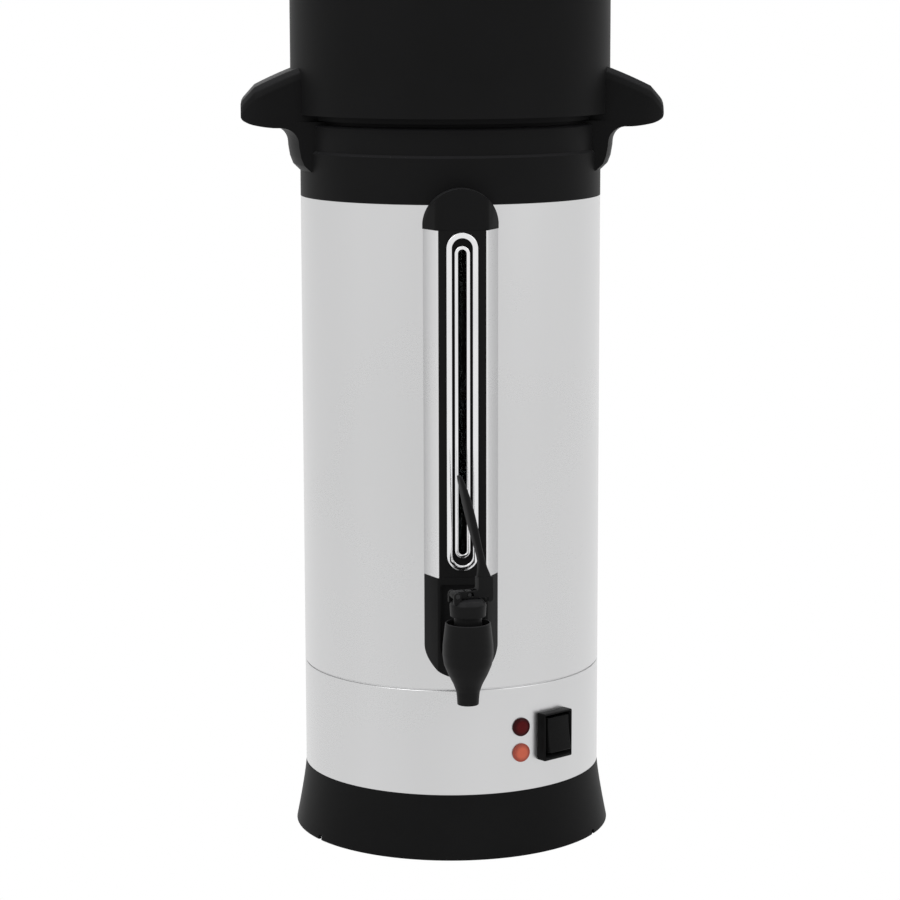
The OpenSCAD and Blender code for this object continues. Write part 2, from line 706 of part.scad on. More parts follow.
module tap_housing() color(BLACK) difference() {
  intersection() {
    translate([0, 0, tap_z]) linear_extrude(gauge_z - touch - tap_z) gauge_plan(0.1);
    outward(body_r - 6, gauge_r + 0.2) tongue(house_r, house_mid, gauge_z);
  }
  outward(pocket_back, gauge_r + 2) tongue(pocket_r, house_mid, pocket_top);
  // room behind the pocket for the fitting
  intersection() {
    translate([0, 0, tap_z]) linear_extrude(big) gauge_plan(2);
    outward(body_r - 6, room_far) tongue(house_r - 2, house_mid, gauge_z + 1);
  }
  cylinder(r = body_r + touch, h = big);
  out_rod(shank_d / 2 + touch, body_r - 6, gauge_r, shank_z);
}

// Outside of the tap body, from the spout's tip up to the collar
module tap_profile() {
  tip = spout_d / 2;
  polygon([[0, tap_z], [tip - 0.6, tap_z], [tip, tap_z + 0.8], [tip + 0.5, tap_z + 6],
    [tip + 1.7, tap_z + 10], [tip + 3.4, tap_z + 14], [tap_r - 3.2, tap_z + 20],
    [tap_r - 0.9, tap_z + 25.5], [tap_r - 0.2, tap_z + 29], [tap_r, tap_z + 34],
    [tap_r - 0.4, tap_z + 40], [tap_r - 1.3, body_top - 5], [tap_r - 2, body_top - 1],
    [tap_r - 3, body_top], [0, body_top]]);
}

module tap_body() color(BLACK) difference() {
  union() {
    translate([0, -tap_y, 0]) rotate_extrude() tap_profile();
    out_rod(shank_d / 2, inner_r - 17, tap_y - 8, shank_z);
    out_rod(shank_d / 2 + 1, pocket_back + flange_t, tap_y - 8, shank_z);
    out_rod(shank_d / 2 + 4, pocket_back + touch, pocket_back + flange_t, shank_z);
  }
  translate([0, -tap_y, tap_z - 1]) cylinder(d = spout_bore, h = 20);
  translate([0, -tap_y, seat_z_tap]) cylinder(r1 = spout_bore / 2, r2 = chamber_r, h = 5);
  translate([0, -tap_y, seat_z_tap + 5]) cylinder(r = chamber_r, h = big);
  out_rod(shank_d / 2 - 3, inner_r - 20, tap_y - 4, shank_z);
  // cross hole that feeds the sight tube
  translate([0, -sight_at, shank_z]) cylinder(r = sight_r - 1, h = shank_d);
}

// The washer lies flat, so its edge meets the curved wall
washer_t = 2;
washer_r = shank_d / 2 + 4;
washer_far = sqrt(pow(inner_r - touch, 2) - pow(washer_r, 2));
nut_far = washer_far - washer_t - touch;
module tap_washer() color(SILICONE) difference() {
  out_rod(washer_r, washer_far - washer_t, washer_far, shank_z);
  out_rod(shank_d / 2 + touch, inner_r - 20, body_r + 5, shank_z);
}

module tap_nut() color(BLACK) difference() {
  translate([0, -nut_far + 7, shank_z]) rotate([90, 0, 0])
    cylinder(r = shank_d / 2 + 5, h = 7, $fn = 6);
  out_rod(shank_d / 2 + touch, inner_r - 20, body_r + 5, shank_z);
}

// Lever mechanism, built facing forward about the tap's upright axis
arm_z = collar_top + 4;
fulcrum_u = 9;
arm_half = 3.2;
lug_t = 2.2;
stem_r = 2;
stem_bore = stem_r + run;
pin_r = 1.5;
cross_r = 1.2;
spring_r = 6;
spring_wire = 1.1;
spring_low = seat_z_tap + 15;
spring_top = bonnet_low + 3;
spring_turns = 6;

module at_tap() translate([0, -tap_y, 0]) facing(-lever_turn) children();
// A pin across the lever at a distance in front of the axis
module across(r, half, u, z) translate([-half, -u, z]) rotate([0, 90, 0])
  cylinder(r = r, h = 2 * half);

module tap_bonnet() color(BLACK) at_tap() difference() {
  union() {
    translate([0, 0, bonnet_low]) cylinder(r = chamber_r - run, h = collar_z - bonnet_low);
    translate([0, 0, collar_z]) cylinder(r = 12, h = collar_top - collar_z);
    for (side = [-1, 1]) translate([side * (arm_half + free + lug_t / 2) - lug_t / 2, 0, 0]) {
      translate([0, -fulcrum_u, arm_z]) rotate([0, 90, 0]) cylinder(r = 3.2, h = lug_t);
      translate([0, -fulcrum_u - 2.2, collar_top - 1]) cube([lug_t, 5.4, arm_z - collar_top + 1]);
    }
  }
  translate([0, 0, bonnet_low - 1]) cylinder(r = spring_r + 1.6, h = spring_top - bonnet_low + 1);
  translate([0, 0, bonnet_low]) cylinder(r = stem_bore, h = big);
  across(pin_r + touch, 12, fulcrum_u, arm_z);
}

module fulcrum_pin() color(STEEL) at_tap()
  across(pin_r, arm_half + free + lug_t - 0.1, fulcrum_u, arm_z);

// Middle, thickness and width of the lever's blade from its root (0) to its tip (1)
blade_root = arm_z + 8;
blade_top = arm_z + lever_len;
function blade_mid(t) = lookup(t, [[0, -10], [0.11, -9], [0.19, -7.8], [0.3, -5.9],
  [0.43, -3.6], [0.57, -1.7], [0.71, 0.2], [0.83, 2.3], [0.93, 4.4], [1, 6]]);
function blade_thick(t) = lookup(t, [[0, 8.4], [0.05, 7.4], [0.11, 5.2], [0.19, 4], [0.3, 4],
  [0.43, 4.6], [0.57, 4.9], [0.71, 4.6], [0.83, 3.9], [0.93, 2.9], [1, 1.2]]);
function blade_half(t) = lookup(t, [[0, 3.2], [0.11, 3.3], [0.3, 4.2], [0.43, 5], [0.57, 5.6],
  [0.71, 5.8], [0.83, 5.3], [0.93, 4.3], [1, 2.6]]);
function blade_section(t) = let (u = blade_mid(t), a = blade_thick(t) / 2, w = blade_half(t),
    z = blade_root + (blade_top - blade_root) * t, c = 0.55)
  [[w, -u - a * c, z], [w * c, -u - a, z], [-w * c, -u - a, z], [-w, -u - a * c, z],
   [-w, -u + a * c, z], [-w * c, -u + a, z], [w * c, -u + a, z], [w, -u + a * c, z]];

module tap_lever() color(BLACK) at_tap() difference() {
  union() {
    skinned([for (k = [0 : 16]) blade_section(k / 16)]);
    // arm over the stem, from the fulcrum back to the blade's root
    translate([-arm_half, -fulcrum_u, arm_z - 2.8]) cube([2 * arm_half, fulcrum_u + 9, 5.6]);
    across(2.8, arm_half, fulcrum_u, arm_z);
    translate([-arm_half, 5.4, arm_z - 2.8]) cube([2 * arm_half, 8.8, 5.6]);
    translate([-arm_half, 6, arm_z + 2]) cube([2 * arm_half, 8, 6.4]);
  }
  across(pin_r + run, 12, fulcrum_u, arm_z);
  // slot that takes the stem, and the cross slot that takes its pin
  translate([-stem_r - 0.35, -stem_r - 1.1, arm_z - 6]) cube([2 * stem_r + 0.7, 2 * stem_r + 4.6, 16]);
  translate([-12, -cross_r - 0.5, arm_z - cross_r - 0.28])
    cube([24, 2 * cross_r + 2.2, 2 * cross_r + 0.56]);
}

module tap_stem() color(STEEL) at_tap() difference() {
  union() {
    translate([0, 0, seat_z_tap + 3]) cylinder(r = stem_r, h = arm_z + 2.4 - seat_z_tap - 3);
    translate([0, 0, spring_low - 2]) cylinder(r = spring_r + 1, h = 1.6);
  }
  across(cross_r + touch, 12, 0, arm_z);
}

module stem_pin() color(STEEL) at_tap() across(cross_r, arm_half - 0.2, 0, arm_z);

module seat_cup() color(SILICONE) at_tap() difference() {
  translate([0, 0, seat_z_tap]) {
    translate([0, 0, 1]) cylinder(r1 = spout_bore / 2 + 0.6, r2 = chamber_r - 2.2, h = 3);
    translate([0, 0, 4]) cylinder(r = chamber_r - 2.2, h = 3);
    translate([0, 0, 7]) cylinder(r = 4.5, h = 5);
  }
  translate([0, 0, seat_z_tap + 3 - touch]) cylinder(r = stem_r + touch, h = 20);
}

module tap_spring() color(STEEL) at_tap() {
  step = 16;
  coils = spring_turns * step;
  rise = (spring_top - spring_low - spring_wire - 0.6) / coils;
  skinned([for (k = [0 : coils]) let (a = 360 * k / step)
    [for (j = [0 : 7]) let (r = spring_r + spring_wire / 2 * cos(45 * j))
      [r * cos(a), r * sin(a),
       spring_low + 0.3 + spring_wire / 2 + rise * k + spring_wire / 2 * sin(45 * j)]]]);
}

// ---- Switch and lamps ----

frame_out = 6.5;
switch_deep = 20;
pivot_out = 1.5;
rocker_half = cutout_h / 2 - 2.2;
rocker_w = cutout_w - 2 * 0.9;
trunnion_r = 1.2;
trunnion_half = cutout_w / 2 + 0.9;

// Rod along the rocker's axis
module at_pivot(r, half) translate([-half, -body_r - pivot_out, switch_z]) rotate([0, 90, 0])
  cylinder(r = r, h = 2 * half);

module switch_housing() color(BLACK) facing(switch_at) difference() {
  union() {
    difference() {
      outward(body_r - 4, body_r + frame_out) translate([0, switch_z])
        square([switch_w, switch_h], center = true);
      cylinder(r = body_r + touch, h = big);
    }
    outward(body_r - switch_deep, body_r + 3) translate([0, switch_z])
      square([cutout_w, cutout_h], center = true);
  }
  outward(body_r - 7, body_r + frame_out + 1) translate([0, switch_z])
    square([cutout_w - 1, cutout_h - 1.2], center = true);
  at_pivot(trunnion_r + run, trunnion_half + 0.2);
}

module switch_tabs() color(BRASS) facing(switch_at) for (x = [-6, 6], z = [-8, 8])
  translate([x - 3, -body_r + switch_deep + touch, switch_z + z - 0.4]) cube([6, 8, 0.8]);

module switch_rocker() color(BLACK) facing(switch_at) {
  translate([0, -body_r - pivot_out, switch_z]) rotate([-rocker_tilt, 0, 0])
    rotate([0, -90, 0]) rotate([0, 0, 180]) translate([0, 0, -rocker_w / 2])
      linear_extrude(rocker_w) polygon([[-rocker_half, 8], [0, 6.6], [rocker_half, 8],
        [rocker_half - 0.4, 0], [4, -6.5], [-4, -6.5], [-rocker_half + 0.4, 0]]);
  at_pivot(trunnion_r, trunnion_half);
}

module lamp_lens(z, tint) color(tint) facing(lamp_at) {
  translate([0, -body_r - touch, z]) rotate([90, 0, 0]) difference() {
    union() {
      cylinder(d = lamp_d, h = 1.2);
      translate([0, 0, 1.2]) cylinder(d1 = lamp_d, d2 = lamp_d - 3, h = 1);
    }
    translate([0, 0, -1]) cylinder(d = lamp_d - 5, h = 1.8);
  }
}

module lamp_boil() lamp_lens(lamp_z[0], [0.36, 0.07, 0.09]);
module lamp_warm() lamp_lens(lamp_z[1], [0.86, 0.4, 0.3]);

module lamp_holders() facing(lamp_at) for (z = lamp_z) {
  color(BLACK) out_rod(holder_r, body_r - 18, body_r, z);
  color(BRASS) for (x = [-2.5, 2.5]) translate([x - 0.4, -body_r + 18, z - 2]) cube([0.8, 6, 4]);
}

// ---- Percolator ----

pump_r = pump_d / 2;
pump_foot_z = floor_z + sheet - well_depth + touch;
basket_top = rim_z - plug_depth - 9;
basket_z = basket_top - basket_h;
basket_r = basket_d / 2;
pump_top = basket_top + 6;

module pump_tube() color(STEEL) difference() {
  union() {
    translate([0, 0, pump_foot_z]) cylinder(r = well_r - 0.4, h = 2);
    translate([0, 0, pump_foot_z + 2]) cylinder(r1 = well_r - 2, r2 = pump_r, h = 9);
    translate([0, 0, pump_foot_z]) cylinder(r = pump_r, h = pump_top - pump_foot_z);
    translate([0, 0, basket_z - 3]) cylinder(r = pump_r + 4, h = 3 - touch);
  }
  translate([0, 0, pump_foot_z - 1]) cylinder(r = pump_r - 1, h = big * 2);
  translate([0, 0, pump_foot_z - 1]) cylinder(r1 = well_r - 3, r2 = pump_r - 1, h = 10);
}

module basket_holes(h) for (k = [0 : 2]) for (a = [0 : 30 : 359]) rotate([0, 0, a + 15 * k])
  translate([basket_r * (0.34 + 0.22 * k), 0, -1]) cylinder(r = 1.5, h = h + 2, $fn = 16);

module coffee_basket() color(STEEL) translate([0, 0, basket_z]) difference() {
  union() {
    difference() {
      cylinder(r = basket_r, h = basket_h);
      translate([0, 0, sheet]) cylinder(r = basket_r - sheet, h = basket_h);
    }
    translate([0, 0, basket_h - 2]) ring(basket_r + 1, basket_r - sheet, 0, 2);
    cylinder(r = pump_r + 1.2, h = basket_h - 4);
  }
  translate([0, 0, -1]) cylinder(r = pump_r + 0.2, h = basket_h + 2);
  basket_holes(sheet);
}

module basket_cover() color(STEEL) translate([0, 0, basket_top + touch]) difference() {
  union() {
    cylinder(r = basket_r + 1, h = sheet);
    cylinder(r = pump_r + 3, h = 4);
  }
  translate([0, 0, -1]) cylinder(r = pump_r + 0.2, h = 8);
  basket_holes(sheet);
}

base_ring();
base_plate();
base_screws();
feet();
skirt();
tank();
heater_plate();
heater_element();
tie_rod();
thermostat();
thermal_cutout();
terminal_block();
wiring();
cord_gland();
gland_nut();
grip_right();
grip_left();
grip_screws();
gauge_channel();
gauge_strip();
gauge_ring_outer();
gauge_ring_inner();
sight_tube();
gauge_fitting();
gauge_cap();
cap_screw();
tap_housing();
tap_body();
tap_nut();
tap_washer();
switch_housing();
switch_tabs();
switch_rocker();
lamp_boil();
lamp_warm();
lamp_holders();
pump_tube();
coffee_basket();
basket_cover();
lid();
lid_seal();
lid_handle();
lid_screws();
tap_bonnet();
fulcrum_pin();
tap_lever();
tap_stem();
stem_pin();
seat_cup();
tap_spring();
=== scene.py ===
"""The looks of the coffee urn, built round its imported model. Metres, in the model's own frame."""
import math

import bmesh
import bpy
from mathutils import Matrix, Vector


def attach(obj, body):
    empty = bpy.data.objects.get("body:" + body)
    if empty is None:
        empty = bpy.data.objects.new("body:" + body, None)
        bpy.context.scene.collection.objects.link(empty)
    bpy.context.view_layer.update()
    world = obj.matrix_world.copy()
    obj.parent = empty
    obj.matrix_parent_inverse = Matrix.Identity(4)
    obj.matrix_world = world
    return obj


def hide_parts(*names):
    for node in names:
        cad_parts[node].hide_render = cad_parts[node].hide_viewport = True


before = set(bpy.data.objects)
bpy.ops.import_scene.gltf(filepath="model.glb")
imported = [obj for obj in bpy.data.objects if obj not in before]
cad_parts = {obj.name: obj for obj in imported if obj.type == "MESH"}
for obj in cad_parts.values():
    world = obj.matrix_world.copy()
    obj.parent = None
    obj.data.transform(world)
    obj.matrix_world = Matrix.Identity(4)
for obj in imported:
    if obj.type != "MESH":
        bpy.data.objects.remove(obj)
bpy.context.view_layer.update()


# ---- Camera ----
# A long lens on a stand 1.9 m off, level with the arch and a little to the left of
# the tap. It dips by nine degrees, which opens the ellipses of the lid and base.
mm = 0.001
camera_out = 1910.2 * mm
camera_height = 570.8 * mm
camera_side = math.radians(3.75)
camera_dip = math.radians(9.35)
camera_roll = math.radians(0.12)
bpy.ops.object.camera_add(
    location=(-camera_out * math.sin(camera_side), -camera_out * math.cos(camera_side), camera_height),
    rotation=(math.pi / 2 - camera_dip, camera_roll, -camera_side),
)
camera = bpy.context.object
camera.data.sensor_width = 36
camera.data.lens = 114.11
bpy.context.scene.camera = camera
bpy.context.scene.view_settings.view_transform = "Standard"


# ---- Floor, daylight and lamps ----
# A pale table top under a white sky. The camera, gloss and glass see both as plain
# white, and matt surfaces get the soft light of the sky and of three large lamps.
class Shade:
    """One value in a material. Arithmetic on it adds Math nodes, and add() any other node."""

    def __init__(self, tree, socket=None):
        self.tree = tree
        self.socket = socket

    def add(self, kind, settings=None, sockets=None, out=0):
        """Adds a node of a kind: its settings first, then the values or links of its sockets."""
        node = self.tree.nodes.new("ShaderNode" + kind)
        for name, value in (settings or {}).items():
            if name == "stops":
                self.set_stops(node.color_ramp, value)
            else:
                setattr(node, name, value)
        for name, value in (sockets or {}).items():
            self.plug(node.inputs[name], value)
        return Shade(self.tree, node.outputs[out])

    def plug(self, socket, value):
        if isinstance(value, Shade):
            self.tree.links.new(value.socket, socket)
        else:
            socket.default_value = value

    def set_stops(self, ramp, stops):
        while len(ramp.elements) < len(stops):
            ramp.elements.new(0.5)
        for element, (place, shade) in zip(ramp.elements, stops):
            element.position = place
            element.color = (shade, shade, shade, 1)

    def sum(self, operation, first, second):
        return self.add("Math", {"operation": operation}, {0: first, 1: second})

    def __add__(self, other):
        return self.sum("ADD", self, other)

    def __sub__(self, other):
        return self.sum("SUBTRACT", self, other)

    def __rsub__(self, other):
        return self.sum("SUBTRACT", other, self)

    def __mul__(self, other):
        return self.sum("MULTIPLY", self, other)

    __radd__ = __add__
    __rmul__ = __mul__


def seen_rays(pen):
    """1 for rays of the camera, of gloss and of glass, and 0 for light on matt surfaces."""
    path = pen.add("LightPath", out="Is Camera Ray")
    node = path.socket.node
    others = Shade(pen.tree, node.outputs["Is Glossy Ray"]) + Shade(pen.tree, node.outputs["Is Transmission Ray"])
    return pen.add("Clamp", sockets={"Value": path + others})


sky_strength = 0.5
world = bpy.data.worlds.new("white_sky")
bpy.context.scene.world = world
world.use_nodes = True
pen = Shade(world.node_tree)
sky = world.node_tree.nodes["Background"]
sky.inputs["Color"].default_value = (1, 1, 1, 1)
pen.plug(sky.inputs["Strength"], seen_rays(pen) * (1 - sky_strength) + sky_strength)

table_glow = 1.0
bpy.ops.mesh.primitive_circle_add(vertices=96, radius=6, fill_type="NGON", location=(0, 0, -0.2 * mm))
table = bpy.context.object
table.name = "table_top"
paint = bpy.data.materials.new("table_white")
paint.use_nodes = True
pen = Shade(paint.node_tree)
paint.node_tree.nodes.remove(paint.node_tree.nodes["Principled BSDF"])
matt = pen.add("BsdfDiffuse", sockets={"Color": (0.9, 0.9, 0.9, 1)})
glow = pen.add("Emission", sockets={"Color": (1, 1, 1, 1), "Strength": 1.0})
mixed = pen.add("MixShader", sockets={0: seen_rays(pen) * table_glow, 1: matt, 2: glow})
pen.plug(paint.node_tree.nodes["Material Output"].inputs["Surface"], mixed)
table.data.materials.append(paint)

aim = Vector((0, 0, 0.28))
lamps = [
    ("key", (-1.6, -1.5, 2.3), 1.8, 28),
    ("fill", (2.0, -1.3, 1.9), 1.6, 14),
    ("top", (0.1, 0.5, 2.6), 1.8, 30),
]
for name, place, size, power in lamps:
    bpy.ops.object.light_add(type="AREA", location=place)
    lamp = bpy.context.object
    lamp.name = name + "_lamp"
    lamp.data.size = size
    lamp.data.energy = power
    lamp.rotation_mode = "QUATERNION"
    lamp.rotation_quaternion = (Vector(place) - aim).to_track_quat("Z", "Y")


# ---- Base ring ----
# A flared foot moulded in black plastic, with three small drain notches in its rim.
# Its lip centres the steel skirt, and four bosses inside take the cover's screws.
def finish(name, sockets_of):
    """A material whose Principled shader takes what sockets_of(pen) returns by socket name."""
    made = bpy.data.materials.new(name)
    made.use_nodes = True
    pen = Shade(made.node_tree)
    shader = made.node_tree.nodes["Principled BSDF"]
    for socket, value in sockets_of(pen).items():
        pen.plug(shader.inputs[socket], value)
    return made


def speckle(pen, scale, detail=2.0):
    """Even noise of a scale in cells per metre, or one scale for each of X, Y and Z."""
    place = pen.add("TexCoord", out="Object")
    if not isinstance(scale, tuple):
        scale = (scale, scale, scale)
    place = pen.add("Mapping", sockets={"Vector": place, "Scale": scale})
    return pen.add("TexNoise", sockets={"Vector": place, "Scale": 1.0, "Detail": detail})


def relief(pen, height, depth):
    """A normal that follows a height of 0 to 1, whose full depth is in millimetres."""
    return pen.add("Bump", sockets={"Strength": 1.0, "Distance": depth * mm, "Height": height})


def tint(pen, part, low, high):
    """A colour between two others."""
    low, high = ((*shade, 1) if isinstance(shade, tuple) else shade for shade in (low, high))
    return pen.add("Mix", {"data_type": "RGBA"}, {0: part, 6: low, 7: high}, out=2)


def moulding(pen, low, high, grain, roughness, gloss=0.03, painted_top_light=1.0):
    """Black plastic from a spark-eroded mould: a fine grain, and a lighter colour on what faces up, which is painted
    top light.
    """
    rubbed = speckle(pen, 16, 4.0)
    # Faces that point up get a paler base colour: painted top light.
    upward = pen.add("SeparateXYZ", sockets={"Vector": pen.add("NewGeometry", out="Normal")}, out="Z")
    painted_top_light_mask = pen.add("MapRange", {"interpolation_type": "SMOOTHSTEP"}, {
        "Value": upward, "From Min": 0.25, "From Max": 0.85, "To Min": 0.0, "To Max": painted_top_light})
    plain = tint(pen, rubbed, low, high)
    painted_top_light_tone = tint(pen, rubbed, (0.017, 0.017, 0.018), (0.024, 0.024, 0.025))
    return {
        "Base Color": tint(pen, painted_top_light_mask, plain, painted_top_light_tone),
        "Roughness": rubbed * 0.12 + (roughness - 0.06),
        "Specular IOR Level": gloss,
        "Normal": relief(pen, speckle(pen, 2600, 1.0) + rubbed * 0.5, grain),
    }


def drawn(name, points):
    """A closed outline through points in millimetres, extruded corner by corner. Stays in edit mode."""
    bpy.ops.object.select_all(action="DESELECT")
    bpy.ops.mesh.primitive_plane_add(size=mm)
    piece = bpy.context.object
    piece.name = name
    bpy.ops.object.mode_set(mode="EDIT")
    bpy.ops.mesh.merge(type="CENTER")
    places = [Vector(point) * mm for point in points]
    bpy.ops.transform.translate(value=places[0])
    for before, after in zip(places, places[1:] + places[:1]):
        bpy.ops.mesh.extrude_vertices_move(TRANSFORM_OT_translate={"value": after - before})
    bpy.ops.mesh.select_all(action="SELECT")
    bpy.ops.mesh.remove_doubles(threshold=0.002 * mm)
    return piece


def turned(name, outline, steps=192, centre=(0, 0)):
    """A solid turned about an upright axis from a closed outline of (radius, height)."""
    x, y = centre
    piece = drawn(name, [(x + radius, y, height) for radius, height in outline])
    bpy.ops.mesh.spin(steps=steps, angle=2 * math.pi, center=(x * mm, y * mm, 0), axis=(0, 0, 1))
    bpy.ops.mesh.select_all(action="SELECT")
    bpy.ops.mesh.remove_doubles(threshold=0.002 * mm)
    bpy.ops.mesh.dissolve_degenerate(threshold=0.001 * mm)
    bpy.ops.mesh.delete_loose(use_verts=True, use_edges=True, use_faces=False)
    bpy.ops.mesh.select_all(action="SELECT")
    bpy.ops.mesh.normals_make_consistent(inside=False)
    bpy.ops.object.mode_set(mode="OBJECT")
    return piece


def rounded(corners, steps=4):
    """Points of a closed outline whose corners are (x, y) or (x, y, radius)."""
    points = []
    for index, (x, y, *radius) in enumerate(corners):
        corner = Vector((x, y))
        if not radius:
            points.append((x, y))
            continue
        back = Vector(corners[index - 1][:2]) - corner
        ahead = Vector(corners[(index + 1) % len(corners)][:2]) - corner
        reach = radius[0] / math.tan(back.angle(ahead) / 2)
        start, end = corner + back.normalized() * reach, corner + ahead.normalized() * reach
        for step in range(steps + 1):
            part = step / steps
            points.append(tuple(start * (1 - part) ** 2 + corner * 2 * part * (1 - part) + end * part ** 2))
    return points


def carve(piece, tool, operation="DIFFERENCE"):
    """Cuts a piece with a tool, or joins the two, and uses the tool up."""
    bpy.ops.object.select_all(action="DESELECT")
    bpy.context.view_layer.objects.active = piece
    cut = piece.modifiers.new("cut", "BOOLEAN")
    cut.object = tool
    cut.operation = operation
    cut.solver = "EXACT"
    bpy.ops.object.modifier_apply(modifier=cut.name)
    bpy.data.objects.remove(tool)
    return piece


def block(low, high, turn=0):
    """A box between two corners in millimetres, turned about the urn's axis towards +X."""
    bpy.ops.object.select_all(action="DESELECT")
    low, high = Vector(low) * mm, Vector(high) * mm
    bpy.ops.mesh.primitive_cube_add(size=1, location=(low + high) / 2)
    box = bpy.context.object
    box.scale = high - low
    bpy.ops.object.transform_apply(location=True, rotation=True, scale=True)
    box.rotation_euler = (0, 0, math.radians(turn))
    bpy.ops.object.transform_apply(location=True, rotation=True, scale=True)
    return box


def rod(radius, start, end, turn=0, sides=48):
    """A round bar between two points in millimetres, turned about the urn's axis towards +X."""
    bpy.ops.object.select_all(action="DESELECT")
    start, end = Vector(start) * mm, Vector(end) * mm
    bpy.ops.mesh.primitive_cylinder_add(
        vertices=sides, radius=radius * mm, depth=(end - start).length, location=(start + end) / 2,
        rotation=(end - start).to_track_quat("Z", "Y").to_euler())
    bar = bpy.context.object
    bpy.ops.object.transform_apply(location=True, rotation=True, scale=True)
    bar.rotation_euler = (0, 0, math.radians(turn))
    bpy.ops.object.transform_apply(location=True, rotation=True, scale=True)
    return bar


def soften(piece, width=0.0, segments=3, angle=40):
    """Rounds a piece's sharp edges by a width in millimetres and shades the rest smooth."""
    bpy.ops.object.select_all(action="DESELECT")
    bpy.context.view_layer.objects.active = piece
    piece.select_set(True)
    if width:
        edges = piece.modifiers.new("edges", "BEVEL")
        edges.width = width * mm
        edges.segments = segments
        edges.limit_method = "ANGLE"
        edges.angle_limit = math.radians(angle)
        edges.miter_outer = "MITER_ARC"
        bpy.ops.object.modifier_apply(modifier=edges.name)
    bpy.ops.object.shade_smooth_by_angle(angle=math.radians(angle))
    return piece


def fit(piece, body, slot, look, *nodes):
    """Gives a finished piece its material, and hides the CAD nodes that it stands for."""
    piece.data.materials.clear()
    piece.data.materials.append(look)
    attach(piece, body)
    if nodes:
        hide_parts(*nodes)
    return piece


def dress(look, *nodes):
    """Gives CAD nodes whose shape is right their material."""
    for node in nodes:
        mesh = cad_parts[node].data
        mesh.materials.clear()
        mesh.materials.append(look)


black_moulding = finish("black_moulding", lambda pen: moulding(
    pen, (0.0072, 0.0072, 0.0073), (0.0105, 0.0105, 0.0108), 0.012, 0.46))

body_r = 100
base_top, base_foot = 43, 0.5
base_flare, base_wall = 7, 2.5


def flare(height):
    """Radius of the base ring's outside at a height."""
    return body_r + base_flare * (1 - (height - base_foot) / (base_top - base_foot)) ** 1.25


levels = [base_foot + (base_top - base_foot) * step / 18 for step in range(1, 18)]
base_ring = turned("flared_base", rounded(
    [(flare(base_foot), base_foot, 0.8)] + [(flare(level), level) for level in levels]
    + [(99.95, base_top, 0.5), (98.92, base_top), (98.92, 49, 0.6), (95, 49), (95, 40), (flare(40) - base_wall, 40)]
    + [(flare(level) - base_wall, level) for level in reversed(levels) if level < 39]
    + [(flare(base_foot) - base_wall, base_foot, 0.5)]))
boss_at, boss_r, cover_top = 94.5, 5, 7.55
for turn in (45, 135, 225, 315):
    carve(base_ring, rod(boss_r, (0, -boss_at, cover_top), (0, -boss_at, 41), turn), "UNION")
    carve(base_ring, block((-1.5, -102.3, cover_top), (1.5, -boss_at - 2, cover_top + 12), turn), "UNION")
    carve(base_ring, rod(2.05, (0, -boss_at, 5), (0, -boss_at, 19), turn))
for turn in (-60, 60, 180):
    carve(base_ring, block((-1.9, -body_r - 9, -1), (1.9, -body_r + 3, 3.7), turn))
soften(base_ring)
fit(base_ring, "urn", "black_body", black_moulding, "base_ring")


# ---- Base cover, its screws and the feet ----
# A flat black cover with vent slots closes the base from below. Four screws hold it,
# and a rubber foot is pushed into it at each side.
bright_screw = finish("zinc_plated_screw", lambda pen: {
    "Base Color": tint(pen, speckle(pen, 300), (0.46, 0.46, 0.47), (0.60, 0.60, 0.62)),
    "Metallic": 1.0,
    "Roughness": speckle(pen, 900) * 0.2 + 0.25,
})
soft_rubber = finish("soft_rubber", lambda pen: {
    "Base Color": tint(pen, speckle(pen, 120), (0.010, 0.010, 0.010), (0.022, 0.022, 0.021)),
    "Roughness": speckle(pen, 500) * 0.15 + 0.7,
    "Normal": relief(pen, speckle(pen, 1800), 0.03),
})
dress(black_moulding, "base_plate")
dress(bright_screw, "base_screws")
dress(soft_rubber, "feet")


# ---- Steel skirt ----
# Rolled sheet steel round the electrics. The tank drops over its joggled top edge, and
# its rounded edge there shows as a fine line. It is punched for the switch, lamps and cord.
def sheet_steel(pen, grain=0.0004, low=(0.545, 0.545, 0.548), high=(0.675, 0.676, 0.680)):
    """Satin sheet steel: soft upright bands of painted reflection in its colour, a fine grain, and a darker, duller,
    less metallic neck.
    """
    level = pen.add("SeparateXYZ", sockets={"Vector": pen.add("TexCoord", out="Object")}, out="Z")
    # Above the shoulder the colour is darker, and the steel rougher and less metallic.
    neck = pen.add("MapRange", {"interpolation_type": "SMOOTHSTEP"}, {
        "Value": level, "From Min": 0.4590, "From Max": 0.4602, "To Min": 0.0, "To Max": 1.0})
    # Soft upright bands in the base colour: painted reflection.
    painted_reflection_bands = speckle(pen, (11, 11, 0.7), 2.0)
    cloud = speckle(pen, 5, 3.0)
    fine = speckle(pen, (240, 240, 2600), 2.0)
    return {
        "Base Color": tint(pen, neck, tint(pen, painted_reflection_bands * 0.7 + cloud * 0.3, low, high), (0.50, 0.50, 0.502)),
        "Metallic": 1 - neck * 0.6,
        "Roughness": cloud * 0.10 + fine * 0.02 + neck * 0.20 + 0.22,
        "Normal": relief(pen, fine, grain),
    }


satin_steel = finish("satin_steel", sheet_steel)
seam_top, seam_low = 114.4, 113.6
skirt = turned("steel_skirt", rounded([
    (body_r, base_top + 0.05, 0.3), (body_r, seam_low, 0.7), (98.92, seam_low), (98.92, 117, 0.3), (97.92, 117, 0.3),
    (97.92, 107), (99, 106), (99, base_top + 0.05)]))
switch_turn, switch_z = 38, 78.6
lamp_turn, lamp_levels = 23.4, (86.4, 69.0)
cord_z = 63
carve(skirt, block((-10.55, -106, switch_z - 13.95), (10.55, -88, switch_z + 13.95), switch_turn))
for level in lamp_levels:
    carve(skirt, rod(4.85, (0, -92, level), (0, -105, level), lamp_turn))
carve(skirt, rod(7.55, (0, 92, cord_z), (0, 105, cord_z)))
soften(skirt)
fit(skirt, "urn", "steel", satin_steel, "skirt")


